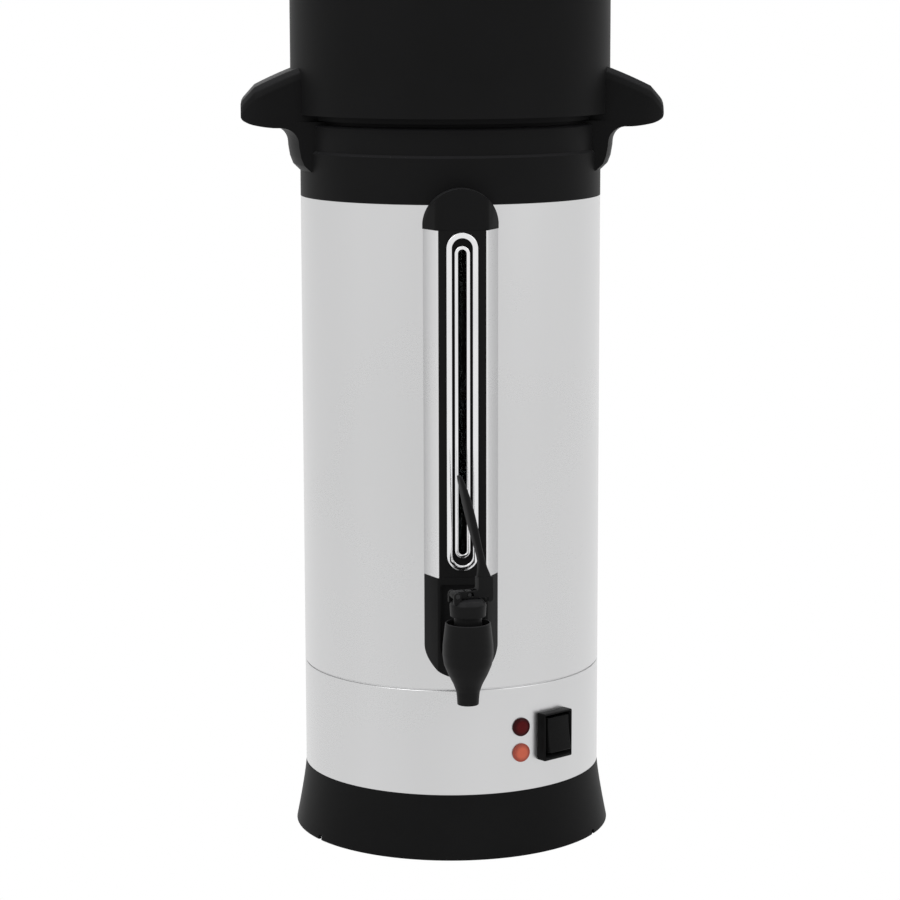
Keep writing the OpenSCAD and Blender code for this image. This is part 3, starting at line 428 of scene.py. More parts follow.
# ---- Heater and wiring, inside the skirt ----
# A cast plate is drawn up against the tank's floor by a rod from the base cover, with a
# ring element and two controls under it. Three leads run round to a terminal block.
cast_alloy = finish("cast_alloy", lambda pen: {
    "Base Color": tint(pen, speckle(pen, 60, 4.0), (0.40, 0.41, 0.43), (0.52, 0.53, 0.55)),
    "Metallic": 1.0,
    "Roughness": speckle(pen, 400) * 0.25 + 0.35,
    "Normal": relief(pen, speckle(pen, 700), 0.05),
})
heated_steel = finish("heated_steel", lambda pen: {
    "Base Color": tint(pen, speckle(pen, 40, 3.0), (0.17, 0.15, 0.13), (0.34, 0.32, 0.31)),
    "Metallic": 1.0,
    "Roughness": speckle(pen, 300) * 0.2 + 0.35,
})
glazed_ceramic = finish("glazed_ceramic", lambda pen: {
    "Base Color": tint(pen, speckle(pen, 90, 3.0), (0.66, 0.63, 0.54), (0.76, 0.73, 0.66)),
    "Roughness": speckle(pen, 200) * 0.2 + 0.3,
})
turned_brass = finish("turned_brass", lambda pen: {
    "Base Color": tint(pen, speckle(pen, 90, 3.0), (0.42, 0.29, 0.10), (0.60, 0.45, 0.19)),
    "Metallic": 1.0,
    "Roughness": speckle(pen, (300, 300, 3000)) * 0.2 + 0.2,
})
dress(cast_alloy, "heater_plate")
dress(heated_steel, "heater_element")
dress(bright_screw, "tie_rod")
dress(glazed_ceramic, "thermostat")
dress(black_moulding, "thermal_cutout", "terminal_block", "lamp_holders")
dress(soft_rubber, "wiring")
dress(turned_brass, "switch_tabs")


# ---- Cord bushing ----
# A black nylon bushing through the back of the skirt, held by a nut from inside.
nylon = finish("black_nylon", lambda pen: moulding(
    pen, (0.006, 0.006, 0.006), (0.012, 0.012, 0.012), 0.008, 0.5))
dress(nylon, "cord_gland", "gland_nut")


# ---- Switch ----
# A rocker switch snapped into the skirt in a thick black frame, pressed in at its top.
# Both parts are glossier than the other mouldings, with softly rounded edges.
switch_black = finish("switch_black", lambda pen: moulding(
    pen, (0.0062, 0.0062, 0.0063), (0.0090, 0.0090, 0.0092), 0.006, 0.36, 0.04, 0.4))


def settle(piece, place=(0, 0, 0), tip=0, turn=0):
    """Tips a finished piece back about X, moves it by millimetres and turns it round the urn."""
    bpy.ops.object.select_all(action="DESELECT")
    bpy.context.view_layer.objects.active = piece
    piece.select_set(True)
    for step in (((math.radians(tip), 0, 0), (0, 0, 0)), ((0, 0, 0), Vector(place) * mm), ((0, 0, math.radians(turn)), (0, 0, 0))):
        piece.rotation_euler, piece.location = step
        bpy.ops.object.transform_apply(location=True, rotation=True, scale=True)
    return piece


def lofted(name, sections):
    """A solid drawn out through closed sections with equal counts of points in millimetres."""
    piece = drawn(name, sections[0])
    bpy.ops.mesh.edge_face_add()
    for section, following in zip(sections, sections[1:]):
        bpy.ops.mesh.extrude_region_move()
        mesh = bmesh.from_edit_mesh(piece.data)
        places = [Vector(point) * mm for point in section]
        for vertex in [vertex for vertex in mesh.verts if vertex.select]:
            nearest = min(range(len(places)), key=lambda index: (vertex.co - places[index]).length_squared)
            vertex.co = Vector(following[nearest]) * mm
        bmesh.update_edit_mesh(piece.data)
    bpy.ops.mesh.select_all(action="SELECT")
    bpy.ops.mesh.normals_make_consistent(inside=False)
    bpy.ops.object.mode_set(mode="OBJECT")
    return piece


frame_w, frame_h, frame_out = 25, 31, 6.5
well_w, well_h = 20, 26.6
pivot_y = -101.5
switch_frame = block((-frame_w / 2, -body_r - frame_out, switch_z - frame_h / 2 - 0.9),
                     (frame_w / 2, -90, switch_z + frame_h / 2))
soften(switch_frame, 1.0)
carve(switch_frame, rod(body_r + 0.05, (0, 0, 40), (0, 0, 120), sides=256))
carve(switch_frame, block((-10.5, -102, switch_z - 13.9), (10.5, -80, switch_z + 13.9)), "UNION")
well = block((-well_w / 2, -body_r - 12, switch_z - well_h / 2), (well_w / 2, -93, switch_z + well_h / 2))
carve(switch_frame, soften(well, 0.8))
bezel = [[(x * (well_w / 2 + wide), -body_r - out, switch_z + z * (well_h / 2 + wide * 0.7))
          for x, z in ((-1, -1), (1, -1), (1, 1), (-1, 1))] for wide, out in ((-0.05, 3.9), (1.9, 6.6), (2.0, 7))]
carve(switch_frame, lofted("bezel", bezel))
carve(switch_frame, rod(1.28, (-11.6, pivot_y, switch_z), (11.6, pivot_y, switch_z)))
settle(soften(switch_frame), turn=switch_turn)
switch_frame.name = "switch_frame"
fit(switch_frame, "urn", "black_switch", switch_black, "switch_housing")



def sideways(name, view, near, far):
    """A solid with a given side view of (y, z), between two distances to the side."""
    piece = drawn(name, [(near, y, z) for y, z in view])
    bpy.ops.mesh.edge_face_add()
    bpy.ops.mesh.extrude_region_move(TRANSFORM_OT_translate={"value": ((far - near) * mm, 0, 0)})
    bpy.ops.mesh.select_all(action="SELECT")
    bpy.ops.mesh.normals_make_consistent(inside=False)
    bpy.ops.object.mode_set(mode="OBJECT")
    return piece


rocker_half, rocker_w = 11.7, 19.2
rocker = sideways("rocker_key", [(-out, up) for up, out in rounded([
    (-rocker_half, 6.1, 0.9), (-6, 5.4, 8), (0, 5.2, 6), (6, 5.4, 8), (rocker_half, 6.1, 0.9),
    (rocker_half - 0.4, 0, 1), (4, -6.5, 1), (-4, -6.5, 1), (-rocker_half + 0.4, 0, 1)])],
    -rocker_w / 2, rocker_w / 2)
soften(rocker, 0.6, angle=50)
carve(rocker, rod(1.2, (-11.4, 0, 0), (11.4, 0, 0)), "UNION")
settle(soften(rocker), (0, pivot_y, switch_z), tip=-7)
settle(rocker, turn=switch_turn)
fit(rocker, "rocker", "black_switch", switch_black, "switch_rocker")


# ---- Pilot lamps ----
# Two round lenses pressed into the skirt beside the switch: dark red for boiling, which is out
# but given a faint painted glow, and orange for keeping warm, which glows a little. Each has a low dome and a rim.
def lens_plastic(pen, level, rim, middle, light):
    """Clear coloured plastic, paler over its middle and cut inside in small facets."""
    turn = math.radians(lamp_turn)
    centre = Vector((math.sin(turn) * 0.1, -math.cos(turn) * 0.1, level * mm))
    place = pen.add("TexCoord", out="Object")
    away = pen.add("VectorMath", {"operation": "DISTANCE"}, {0: place, 1: centre}, out=1)
    inner = pen.add("MapRange", {"interpolation_type": "SMOOTHSTEP"}, {
        "Value": away, "From Min": 0.0034, "From Max": 0.0058, "To Min": 1.0, "To Max": 0.0})
    facets = pen.add("TexVoronoi", sockets={"Vector": place, "Scale": 620.0})
    glow = tint(pen, inner, rim, middle)
    return {
        "Base Color": glow,
        "Roughness": inner * 0.05 + 0.16,
        "Specular IOR Level": 0.08,
        "Emission Color": glow,
        "Emission Strength": light,
        "Normal": relief(pen, facets, 0.10),
    }


lens_r = 6.2
# The boiling lens's small emission is painted glow, as its lamp is out; the warm lens glows from its lamp.
for name, node, slot, level, rim, middle, light in (
        ("boil_lens", "lamp_boil", "lens_boil", lamp_levels[0], (0.030, 0.002, 0.003), (0.080, 0.004, 0.005), 0.05),
        ("warm_lens", "lamp_warm", "lens_warm", lamp_levels[1], (0.30, 0.065, 0.045), (0.52, 0.115, 0.068), 0.15)):
    lens = turned(name, rounded([
        (0, 0.8), (3.7, 0.8), (3.7, 0), (lens_r, 0), (lens_r, 1.25, 0.5), (5.3, 1.35, 0.3), (4.6, 1.75, 1.0),
        (2.4, 2.12, 3), (0, 2.2)]), steps=64)
    settle(lens, (0, -body_r - 0.05, level), tip=90)
    settle(soften(lens), turn=lamp_turn)
    fit(lens, "urn", slot, finish(name, lambda pen: lens_plastic(pen, level, rim, middle, light)), node)


# ---- Tank ----
# A steel vessel with a rolled rim, a stepped-in neck and a dished floor. Its lower edge
# meets the skirt at the seam, and it is punched for the tap's shank and the screws.
rim_r, rim_centre, rim_level = 1.6, 92.6, 483.1
shank_r = 8
grip_screw_z, cap_screw_z, shank_z = 453.7, 426, 150
bead = [(rim_centre + rim_r * math.cos(math.radians(turn)), rim_level + rim_r * math.sin(math.radians(turn)))
        for turn in range(248, 538, 17)]
tank = turned("steel_tank", rounded([
    (body_r, seam_top, 0.7), (body_r, 459.9, 1.8), (97.4, 460.9, 1.2), (94.9, 463.6, 2.0), (93.1, 465.2, 1.1),
    (92.9, 467), *bead, (91.0, 483.1), (92.0, 465.8, 0.6), (94.2, 463.0, 0.6), (97.9, 459.4, 0.8), (99, 457.6, 0.5),
    (99, 119, 2), (22, 119, 2), (18, 114, 2), (0, 114), (0, 113), (18.6, 113), (22.6, 118), (99, 118), (99, seam_top)]))
carve(tank, rod(shank_r + 0.3, (0, -91, shank_z), (0, -103, shank_z)))
carve(tank, rod(2.2, (0, -91, cap_screw_z), (0, -103, cap_screw_z)))
for turn in (78, 102, -78, -102):
    carve(tank, rod(2.2, (0, -91, grip_screw_z), (0, -103, grip_screw_z), turn))
soften(tank)
fit(tank, "urn", "steel", satin_steel, "tank")


# ---- Side grips ----
# Each black grip is one moulding: a deep bow that goes on from the arch and ends in a
# chamfered tip, over a saddle that hugs the tank. Screws from inside the tank hold it.
arch_top, arch_curve = 533.3, 288.1
arch_w, grip_w = 34, 76
split_r, chamfer_x, grip_x = 106, 130, 139
grip_low, grip_reach = 475.9, 39


def ease(start, end, x):
    """0 at one value and 1 at another, with a smooth run between."""
    part = min(1, max(0, (x - start) / (end - start)))
    return part * part * (3 - 2 * part)


def bow_top(x):
    """Height of the bow's top, which drops over the chamfer at the tip."""
    if x <= chamfer_x:
        return arch_top - arch_curve + math.sqrt(arch_curve ** 2 - x ** 2)
    return bow_top(chamfer_x) - (x - chamfer_x) / (grip_x - chamfer_x) * 9.8


def bow_half(x):
    """Half the bow's width: narrow over the lid, wide at the grips and a little drawn in at the tip."""
    half = arch_w / 2 + (grip_w - arch_w) / 2 * ease(36, split_r, x)
    return half - 7 * (max(0, x - 125) / 14) ** 2


def bow_section(x, half, low, top, foot_radius):
    """Section across the bow at a distance from the middle: a flat top between two rounded bevels."""
    down = min(8, top - low - 2.2)
    slant = 6 * down / 8
    side = [(half - slant, top, 2.5), (half - 0.3 * slant, top - 0.45 * down, 4), (half, top - down, 4),
            (half, low, foot_radius)]
    corners = side + [(-y, z, radius) for y, z, radius in reversed(side)]
    return [(x, y, z) for y, z in rounded(corners)]


def make_grip(name):
    """The right-hand grip: its bow, then the saddle below, cut to the tank and the lid."""
    sections = []
    for x in [85 + 2.5 * step for step in range(18)] + [129, 130, 131.5, 133, 135, 137, 138, 138.7, 139]:
        lift = 1.8 * (max(0, x - 116) / 14) ** 1.6 + 1.6 * (max(0, x - 131) / 8) ** 2
        tip = 1.7 * (1 - math.sqrt(1 - min(1, max(0, (x - 137.3) / 1.75)) ** 2))
        sections.append(bow_section(x, bow_half(x) - tip, grip_low + lift + tip, bow_top(x) - tip, 2.0))
    grip = lofted(name, sections)
    fillet, fillet_x = 10.5, 118.6
    saddle = turned("saddle", rounded([
        (87, 447.3), (100.7, 447.3, 0.6), (104.9, 451.4, 2.5), (106.8, 456.5, 3), (107.9, 463)]
        + [(fillet_x + fillet * math.cos(math.radians(turn)), grip_low - fillet + fillet * math.sin(math.radians(turn)))
           for turn in range(177, 89, -9)]
        + [(fillet_x, grip_low + 4), (87, grip_low + 4)]), steps=256)
    half = grip_w / 2 - 0.15
    carve(saddle, soften(block((60, -half, 430), (150, half, 500)), 1.4), "INTERSECT")
    carve(grip, saddle, "UNION")
    carve(grip, turned("urn_space", [
        (0, 430), (100.05, 430), (100.05, 459.4), (98.4, 461), (98.4, 476.6), (97.4, 477.5), (94.6, 477.9), (92.3, 478.6),
        (92.1, 480.7), (96, 480.7), (96, 484.5), (split_r + 0.15, 484.5), (split_r + 0.15, 600), (0, 600)], steps=256))
    for turn in (78, 102):
        carve(grip, rod(2.05, (0, -95, grip_screw_z), (0, -105.2, grip_screw_z), turn))
    return soften(grip, angle=35)


right_grip = make_grip("right_grip")
left_grip = settle(make_grip("left_grip"), turn=180)
fit(right_grip, "urn", "black_body", black_moulding, "grip_right")
fit(left_grip, "urn", "black_body", black_moulding, "grip_left")
dress(bright_screw, "grip_screws", "cap_screw")


# ---- Level gauge cover and strip ----
# A folded steel cover with slanted sides stands up the front of the tank. A black strip
# fills its front, with a slot over the sight tube and a sunk track between two bright rings.
gauge_low, gauge_top = 191.5, 415
gauge_front = 113
fold_x, side_run = 16.1, 9.37


def gauge_plan(gap, fold=0.0):
    """Plan of the gauge, wide at the tank and narrow at the front, drawn in by a gap."""
    front = fold_x - gap
    back = -body_r + 5.7
    corners = [(-front, -gauge_front, fold), (front, -gauge_front, fold), (front + side_run, back), (-front - side_run, back)]
    return rounded([corner if fold else corner[:2] for corner in corners], 6)


def upright(name, plan, low, high):
    """A solid with a given plan between two heights."""
    piece = drawn(name, [(x, y, low) for x, y in plan])
    bpy.ops.mesh.edge_face_add()
    bpy.ops.mesh.extrude_region_move(TRANSFORM_OT_translate={"value": (0, 0, (high - low) * mm)})
    bpy.ops.mesh.select_all(action="SELECT")
    bpy.ops.mesh.normals_make_consistent(inside=False)
    bpy.ops.object.mode_set(mode="OBJECT")
    return piece


def outward(name, view, near, far):
    """A solid with a given front view between two distances in front of the urn's axis."""
    piece = drawn(name, [(x, -near, z) for x, z in view])
    bpy.ops.mesh.edge_face_add()
    bpy.ops.mesh.extrude_region_move(TRANSFORM_OT_translate={"value": (0, (near - far) * mm, 0)})
    bpy.ops.mesh.select_all(action="SELECT")
    bpy.ops.mesh.normals_make_consistent(inside=False)
    bpy.ops.object.mode_set(mode="OBJECT")
    return piece


def racetrack(width, height, sides=32):
    """Front view of a slot with round ends, on the gauge's middle."""
    middle, straight = 304.95, (height - width) / 2
    arc = [(width / 2 * math.cos(math.pi * step / sides), straight + width / 2 * math.sin(math.pi * step / sides))
           for step in range(sides + 1)]
    return [(x, middle + z) for x, z in arc] + [(-x, middle - z) for x, z in arc]


dark_lacquer = finish("dark_lacquer", lambda pen: {
    "Base Color": tint(pen, speckle(pen, 80), (0.030, 0.030, 0.030), (0.046, 0.046, 0.046)),
    "Roughness": speckle(pen, 300) * 0.2 + 0.6,
    "Specular IOR Level": 0.1,
})
cover = upright("gauge_cover", gauge_plan(0, 1.6), gauge_low, gauge_top)
hollow = upright("hollow", gauge_plan(0.85), gauge_low - 2, gauge_top + 2)
carve(hollow, rod(100.85, (0, 0, 100), (0, 0, 500), sides=256))
carve(cover, hollow)
carve(cover, block((-15.25, -120, 100), (15.25, -111, 500)))
carve(cover, rod(body_r + 0.05, (0, 0, 100), (0, 0, 500), sides=256))
soften(cover)
bright_steel = finish("bright_steel", lambda pen: sheet_steel(pen, low=(0.63, 0.63, 0.634), high=(0.75, 0.75, 0.755)))
fit(cover, "urn", "steel", bright_steel, "gauge_channel")
cover.data.materials.append(dark_lacquer)
for face in cover.data.polygons:
    if abs(face.center.x) < 15 * mm or math.hypot(face.center.x, face.center.y) < 100.95 * mm:
        face.material_index = 1

strip_back, strip_front = 109.5, 112.98
strip = upright("gauge_strip_face", [
    (-15.2, -strip_front), (15.2, -strip_front), (16.7, -strip_back), (-16.7, -strip_back)], gauge_low, gauge_top)
carve(strip, outward("slot", racetrack(5.4, 196.3), 100, 120))
track = outward("track", racetrack(13.2, 210.5), strip_front - 1.3, 120)
carve(track, outward("island", racetrack(9.8, 200.7), 100, 121))
carve(strip, track)
soften(strip, 0.35, 2)
fit(strip, "urn", "black_body", black_moulding, "gauge_strip")

clear_tube = finish("clear_tube", lambda pen: {
    "Base Color": tint(pen, speckle(pen, 50), (0.75, 0.80, 0.80), (0.85, 0.88, 0.88)),
    "Roughness": speckle(pen, 200) * 0.04 + 0.03,
    "Specular IOR Level": 0.1,
    "IOR": 1.12,
    "Transmission Weight": 1.0,
})
pale_silicone = finish("pale_silicone", lambda pen: {
    "Base Color": tint(pen, speckle(pen, 70, 3.0), (0.56, 0.54, 0.49), (0.68, 0.66, 0.61)),
    "Roughness": speckle(pen, 200) * 0.15 + 0.5,
    "Subsurface Weight": 0.1,
    "Subsurface Scale": 0.004,
    "Normal": relief(pen, speckle(pen, 900), 0.01),
})
dress(clear_tube, "sight_tube")
dress(pale_silicone, "gauge_fitting", "tap_washer")


# ---- Bright rings of the gauge ----
# Two chromed racetrack rings are stuck to the strip, one round its sunk track and a
# finer one round the slot. Their edges are rounded, so they catch the light all along.
chrome = finish("bright_chrome", lambda pen: {
    "Base Color": tint(pen, speckle(pen, 30, 3.0), (0.72, 0.72, 0.73), (0.82, 0.82, 0.83)),
    "Metallic": 1.0,
    "Roughness": speckle(pen, 120, 3.0) * 0.10 + 0.07,
})
for name, node, width, height, stroke in (
        ("outer_ring", "gauge_ring_outer", 20.2, 217.5, 3.5), ("inner_ring", "gauge_ring_inner", 9.8, 200.7, 2.2)):
    ring = outward(name, racetrack(width, height), 113.05, 113.9)
    carve(ring, outward("inside", racetrack(width - 2 * stroke, height - 2 * stroke), 100, 120))
    soften(ring, 0.38)
    fit(ring, "urn", "bright_trim", chrome, node)


# ---- Gauge cap ----
# A black dome with the plan of the cover closes the gauge's top. It is screwed on from
# inside the tank.
cap_r, cap_middle, cap_low = 24.5, 416.6, 415.05
cap = upright("gauge_dome", gauge_plan(-0.3, 5), cap_low, 450)
view = [(cap_r * math.cos(math.pi * step / 48), cap_middle + cap_r * math.sin(math.pi * step / 48)) for step in range(49)]
carve(cap, outward("dome_view", view + [(-cap_r, cap_low - 1), (cap_r, cap_low - 1)], 94, 113.2), "INTERSECT")
carve(cap, rod(body_r + 0.05, (0, 0, 380), (0, 0, 500), sides=256))
soften(cap, 2.4, 5, 45)
carve(cap, rod(3.05, (0, -103.9, 414), (0, -103.9, 422)))
carve(cap, rod(2.05, (0, -95, cap_screw_z), (0, -109, cap_screw_z)))
fit(soften(cap), "urn", "black_body", black_moulding, "gauge_cap")

# ---- Percolator, inside the tank ----
# A pump tube of bright steel stands over the heater and carries the punched basket and
# its spreader cover. All three lift out.
basket_steel = finish("basket_steel", lambda pen: sheet_steel(pen, 0.002))
dress(basket_steel, "pump_tube", "coffee_basket", "basket_cover")


# ---- Tap housing ----
# A black block closes the foot of the gauge, with a deep pocket that the tap comes out
# of. The tap's shank clamps it to the tank.
house_low, house_top = 120, 191.45
pocket_back = 109


def tongue(half, middle, top, sides=48, drop=1.0):
    """Front view of a slot that is round or flatter below and square above."""
    arc = [(-half * math.cos(math.pi * step / sides), middle - drop * half * math.sin(math.pi * step / sides))
           for step in range(sides + 1)]
    return arc + [(half, top), (-half, top)]


housing = upright("tap_block", gauge_plan(0.1, 1.2), house_low, house_top)
carve(housing, outward("block_view", tongue(23.9, 144.5, 195, drop=0.82), 94, 113.2), "INTERSECT")
soften(housing, 0.7)
pocket = soften(outward("pocket", tongue(14.45, 146.3, 187), pocket_back, 125), 1.2, 4)
carve(housing, pocket)
room = upright("room", gauge_plan(2), house_low - 5, house_top + 5)
carve(room, outward("room_view", tongue(21.9, 144.5, 195, drop=0.82), 93, 107.55), "INTERSECT")
carve(housing, room)
carve(housing, rod(body_r + 0.05, (0, 0, 90), (0, 0, 300), sides=256))
carve(housing, rod(shank_r + 0.05, (0, -90, shank_z), (0, -120, shank_z)))
fit(soften(housing), "urn", "black_body", black_moulding, "tap_housing")


# ---- Tap body ----
# A bell-shaped faucet body moulded in black, with its spout below. Its threaded shank
# goes through the housing and the tank's wall to a nut inside.
tap_black = finish("tap_black", lambda pen: moulding(
    pen, (0.0072, 0.0072, 0.0073), (0.0100, 0.0100, 0.0103), 0.010, 0.40, 0.06))
tap_out = 160
bell = turned("tap_bell", rounded([
    (0, 120), (6.8, 120, 0.6), (7.0, 124, 4), (7.5, 128.5, 7), (9.3, 133.4, 10), (12.6, 139.8, 12),
    (15.2, 146, 14), (16.1, 152.5, 12), (15.9, 159, 14), (15.1, 166, 10), (14.3, 172.8, 0.7),
    (13.4, 173.0, 0.3), (13.0, 165, 0.4), (11.1, 165, 0.4), (11.1, 167.2, 0.3), (0, 167.2)]), steps=96, centre=(0, -tap_out))
shank = turned("shank", [(0, 82), (shank_r, 82), (shank_r, 109.05), (12, 109.05), (12, 112), (9, 112), (9, 153), (0, 153)],
               steps=96)
carve(bell, settle(shank, (0, 0, shank_z), tip=90), "UNION")
carve(bell, turned("chamber", [(0, 110), (4.5, 110), (4.5, 134), (10.4, 139), (10.4, 190), (0, 190)],
                   steps=96, centre=(0, -tap_out)))
carve(bell, rod(5, (0, -75, shank_z), (0, -156, shank_z)))
carve(bell, rod(2, (0, -103.9, shank_z), (0, -103.9, 166)))
fit(soften(bell, angle=30), "urn", "black_tap", tap_black, "tap_body")
dress(tap_black, "tap_nut")


# ---- Tap valve ----
# A steel stem lifts a silicone seat cup against a coil spring. Pins of blackened steel
# join the stem to the lever and the lever to the collar.
blackened_steel = finish("blackened_steel", lambda pen: {
    "Base Color": tint(pen, speckle(pen, 300), (0.010, 0.010, 0.011), (0.022, 0.022, 0.023)),
    "Metallic": 0.6,
    "Roughness": speckle(pen, 900) * 0.2 + 0.35,
})
spring_steel = finish("spring_steel", lambda pen: {
    "Base Color": tint(pen, speckle(pen, 400), (0.50, 0.50, 0.50), (0.64, 0.64, 0.63)),
    "Metallic": 1.0,
    "Roughness": speckle(pen, 1200) * 0.15 + 0.2,
})
dress(blackened_steel, "tap_stem", "stem_pin", "fulcrum_pin")
dress(spring_steel, "tap_spring")
dress(pale_silicone, "seat_cup")


# ---- Tap collar ----
# A collar snapped into the body closes the valve and carries the lever between two
# lugs. It swivels with the lever, and stands turned to the left.
lever_turn = -72
arm_level, fulcrum_out = 191, 9
collar = turned("tap_collar", rounded([
    (2.08, 166), (10.32, 166), (10.32, 167.4), (8.8, 168, 0.4), (8.8, 177.0), (11.2, 177.1, 0.5),
    (11.6, 184.6, 2), (9.4, 187.6, 1.5), (5, 188.0), (2.08, 188.0)]), steps=96)
pin_end = [(2.5 * math.cos(math.pi * step / 16), 2.5 * math.sin(math.pi * step / 16)) for step in range(17)]
pin_end += [(-2.4, -5), (2.4, -5)]
for side in (-1, 1):
    lug = sideways("lug", [(-fulcrum_out + y, arm_level + z) for y, z in pin_end], side * 3.5, side * 5.7)
    carve(collar, soften(lug, 0.4), "UNION")
carve(collar, rod(1.55, (-12, -fulcrum_out, arm_level), (12, -fulcrum_out, arm_level)))
settle(soften(collar, angle=30), turn=lever_turn)
settle(collar, (0, -tap_out, 0))
fit(collar, "bonnet", "black_tap", tap_black, "tap_bonnet")


# ---- Lever ----
# A slim S-curved paddle moulded with the arm that lifts the stem. It pivots on a pin
# between the collar's lugs, and pulling its top forward opens the tap.
blade_low, blade_high = 199, 267
# how far up, its middle, its thickness and half its width
stations = ((0, -10.7, 9.6, 3.3), (0.05, -10.6, 8.8, 3.3), (0.11, -9.9, 5.8, 3.4), (0.19, -9.0, 3.9, 3.7), (0.30, -7.0, 3.8, 4.2),
            (0.43, -4.6, 4.6, 5.0), (0.57, -2.3, 4.9, 5.6), (0.71, 0.1, 4.6, 5.8), (0.83, 2.3, 3.9, 5.3),
            (0.93, 4.4, 2.9, 4.3), (0.985, 5.6, 1.9, 3.2), (1.0, 6.0, 0.9, 2.2))
sections = []
for up, middle, thick, half in stations:
    z, near, far = blade_low + (blade_high - blade_low) * up, -middle + thick / 2, -middle - thick / 2
    sections.append([(half, -middle, z), (half * 0.8, near, z), (0, near + 0.2, z), (-half * 0.8, near, z),
                     (-half, -middle, z), (-half * 0.8, far, z), (0, far - 0.2, z), (half * 0.8, far, z)])
lever = lofted("pull_lever", sections)
smooth = lever.modifiers.new("smooth", "SUBSURF")
smooth.levels = smooth.render_levels = 2
bpy.ops.object.modifier_apply(modifier=smooth.name)
boss_end = [(-fulcrum_out - 2.4 * math.sin(math.pi * step / 12), arm_level + 2.4 * math.cos(math.pi * step / 12))
            for step in range(13)]
arm = sideways("arm", rounded(boss_end + [
    (12.7, arm_level - 2.4, 0.6), (12.9, arm_level - 5.6, 0.9), (15.9, arm_level - 5.0, 2.5), (15.6, arm_level + 10.5), (6.1, arm_level + 10.5), (6.1, arm_level + 2.4, 2)], 6), -3.2, 3.2)
carve(lever, soften(arm, 0.9, 3, 50), "UNION")
carve(lever, rod(1.58, (-12, -fulcrum_out, arm_level), (12, -fulcrum_out, arm_level)))
carve(lever, block((-2.35, -3.1, 185), (2.35, 5.5, 201)))
carve(lever, block((-12, -1.7, arm_level - 1.48), (12, 2.9, arm_level + 1.48)))
settle(soften(lever, angle=35), turn=lever_turn)
settle(lever, (0, -tap_out, 0))
fit(lever, "lever", "black_tap", tap_black, "tap_lever")


# ---- Lid ----
# A black domed lid with a shallow dish in its middle and a steam vent to the right. Its
# plug drops into the neck with a silicone seal, and its flange rests on the rim.
lid_low, lid_edge, lid_peak = 485.05, 496.05, 502.05
lid_r, dish_r, dish_deep, dome_r, brow_r = 88, 42, 3, 52, 86
plug_r, seal_r = 88.6, 90.6
vent_out, vent_turn = 80, 36


def lid_top(radius):
    """Height of the lid's top: dished in the middle, domed round it and sloped at the brow."""
    if radius > brow_r:
        return lid_edge - 0.6 * (radius - brow_r)
    if radius > dome_r:
        return lid_peak - 6 * ((radius - dome_r) / (brow_r - dome_r)) ** 2
    if radius > dish_r:
        return lid_peak
    return lid_peak - dish_deep * (1 + math.cos(math.pi * radius / dish_r)) / 2


spans = [2 * step for step in range(43)]
lid_skin = [(span, lid_top(span)) for span in spans] + [(brow_r, lid_edge, 1.0)]
lid_edge_points = [(87.7, 495.1, 0.6), (88, 493.6, 0.6), (89.7, 487.4, 0.5), (91.8, 486.65, 0.5), (91.8, lid_low, 0.3)]
lid_black = finish("lid_black", lambda pen: moulding(
    pen, (0.0062, 0.0062, 0.0063), (0.0095, 0.0095, 0.0098), 0.008, 0.34, 0.02, 0.7))
lid = turned("domed_lid", rounded(
    lid_skin[:-2] + lid_skin[-1:] + lid_edge_points + [(plug_r, lid_low), (plug_r, 476.05, 0.5), (86.1, 476.05, 0.5)]
    + [(86.1, 487.05), (84.5, 492.55)] + [(span, lid_top(span) - 2.5) for span in reversed(spans) if span < 84]), steps=256)
screw_x, screw_y, boss_low = 80.5, 11, 490.05
for x in (-screw_x, screw_x):
    for y in (-screw_y, screw_y):
        carve(lid, rod(4.4, (x, y, boss_low), (x, y, 496)), "UNION")
        carve(lid, rod(2.2, (x, y, boss_low - 1), (x, y, boss_low + 20)))
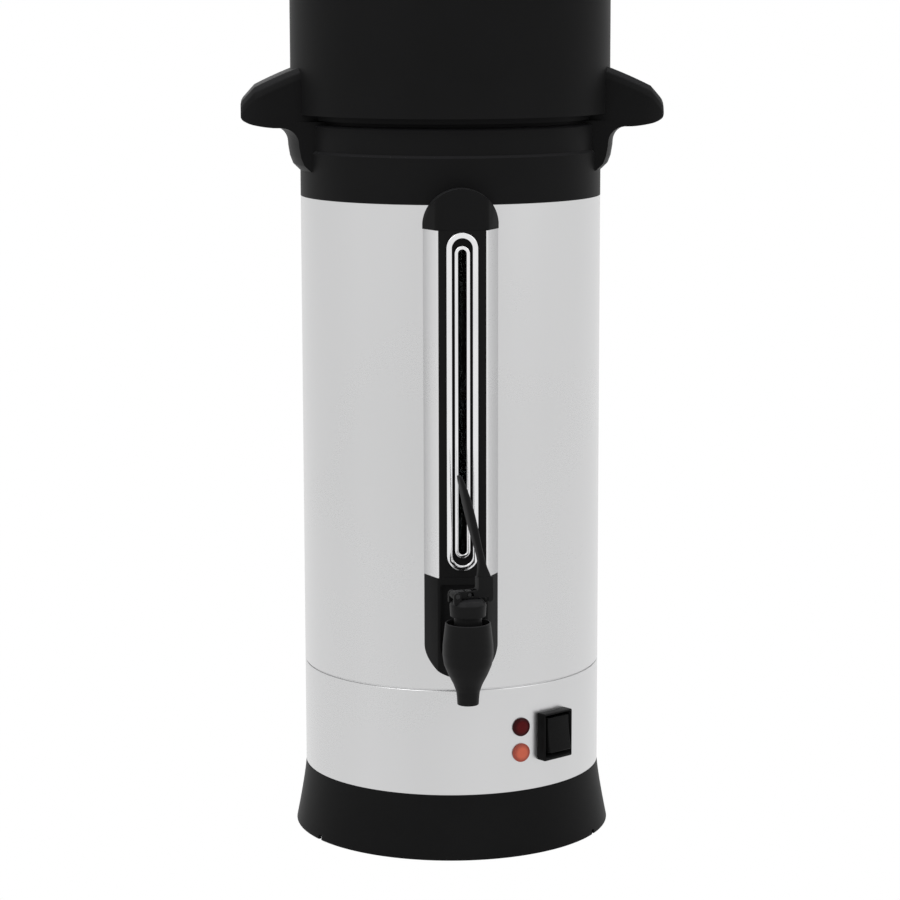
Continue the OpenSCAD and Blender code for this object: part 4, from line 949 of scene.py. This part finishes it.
vent = turned("vent_tool", rounded([
    (0, 478), (3.2, 478), (3.2, lid_top(vent_out) - 1.5, 0.4), (4.6, lid_top(vent_out) - 0.9, 1.0), (6.0, lid_top(vent_out) + 2.8),
    (0, lid_top(vent_out) + 2.8)]), steps=64, centre=(0, -vent_out))
carve(lid, settle(vent, turn=vent_turn))
fit(soften(lid, angle=30), "lid", "black_body", lid_black, "lid")
dress(pale_silicone, "lid_seal")
dress(bright_screw, "lid_screws")


# ---- Arch ----
# The carrying arch stands on the lid, screwed from below at both feet, and carries on
# the line of the side grips. A finger gap opens between it and the lid.
arch_gap, arch_drop = 75, 7.3
crown, bow_span = 524.5, 58
under_curve = (bow_span ** 2 + arch_drop ** 2) / (2 * arch_drop)
arch_feet = ((75.6, 488.5), (81, 487.4), (87, 486.9), (92.4, 486.0), (96, 485.5), (100.5, 484.95), (108, 484.95))


def arch_under(x):
    """Height of the arch's underside over the finger gap."""
    if x <= bow_span:
        return crown - under_curve + math.sqrt(under_curve ** 2 - x ** 2)
    return crown - arch_drop - (x - bow_span) * 0.42 - 6 * ((x - bow_span) / 11) ** 3


low_side = [(x, arch_under(x)) for x in [2.5 * step for step in range(23)] + [58, 60, 62, 64, 66, 68, 69.5, 71, 72.2, 73.2, 74.2, 75]]
low_side += list(arch_feet)
half_sections = [(x, low, bow_half(x), bow_top(x)) for x, low in low_side]
sections = [bow_section(side * x, half, low, top, 1.5)
            for side, row in ((-1, reversed(half_sections[1:])), (1, half_sections)) for x, low, half, top in row]
arch = lofted("carrying_arch", sections)
carve(arch, turned("lid_tool", [
    (0, 480)] + [(91.85, 480), (91.85, 486.7), (89.75, 487.45), (88.05, 493.65), (87.75, 495.15), (86.05, 496.15)]
    + [(span, lid_top(span) + 0.05) for span in reversed(spans)], steps=256))
beyond = turned("beyond", [(split_r - 0.15, 470), (150, 470), (150, 560), (split_r - 0.15, 560)], steps=256)
carve(arch, beyond)
for x in (-screw_x, screw_x):
    for y in (-screw_y, screw_y):
        carve(arch, rod(2.05, (x, y, lid_low), (x, y, lid_low + 20)))
fit(soften(arch, angle=35), "lid", "black_body", black_moulding, "lid_handle")
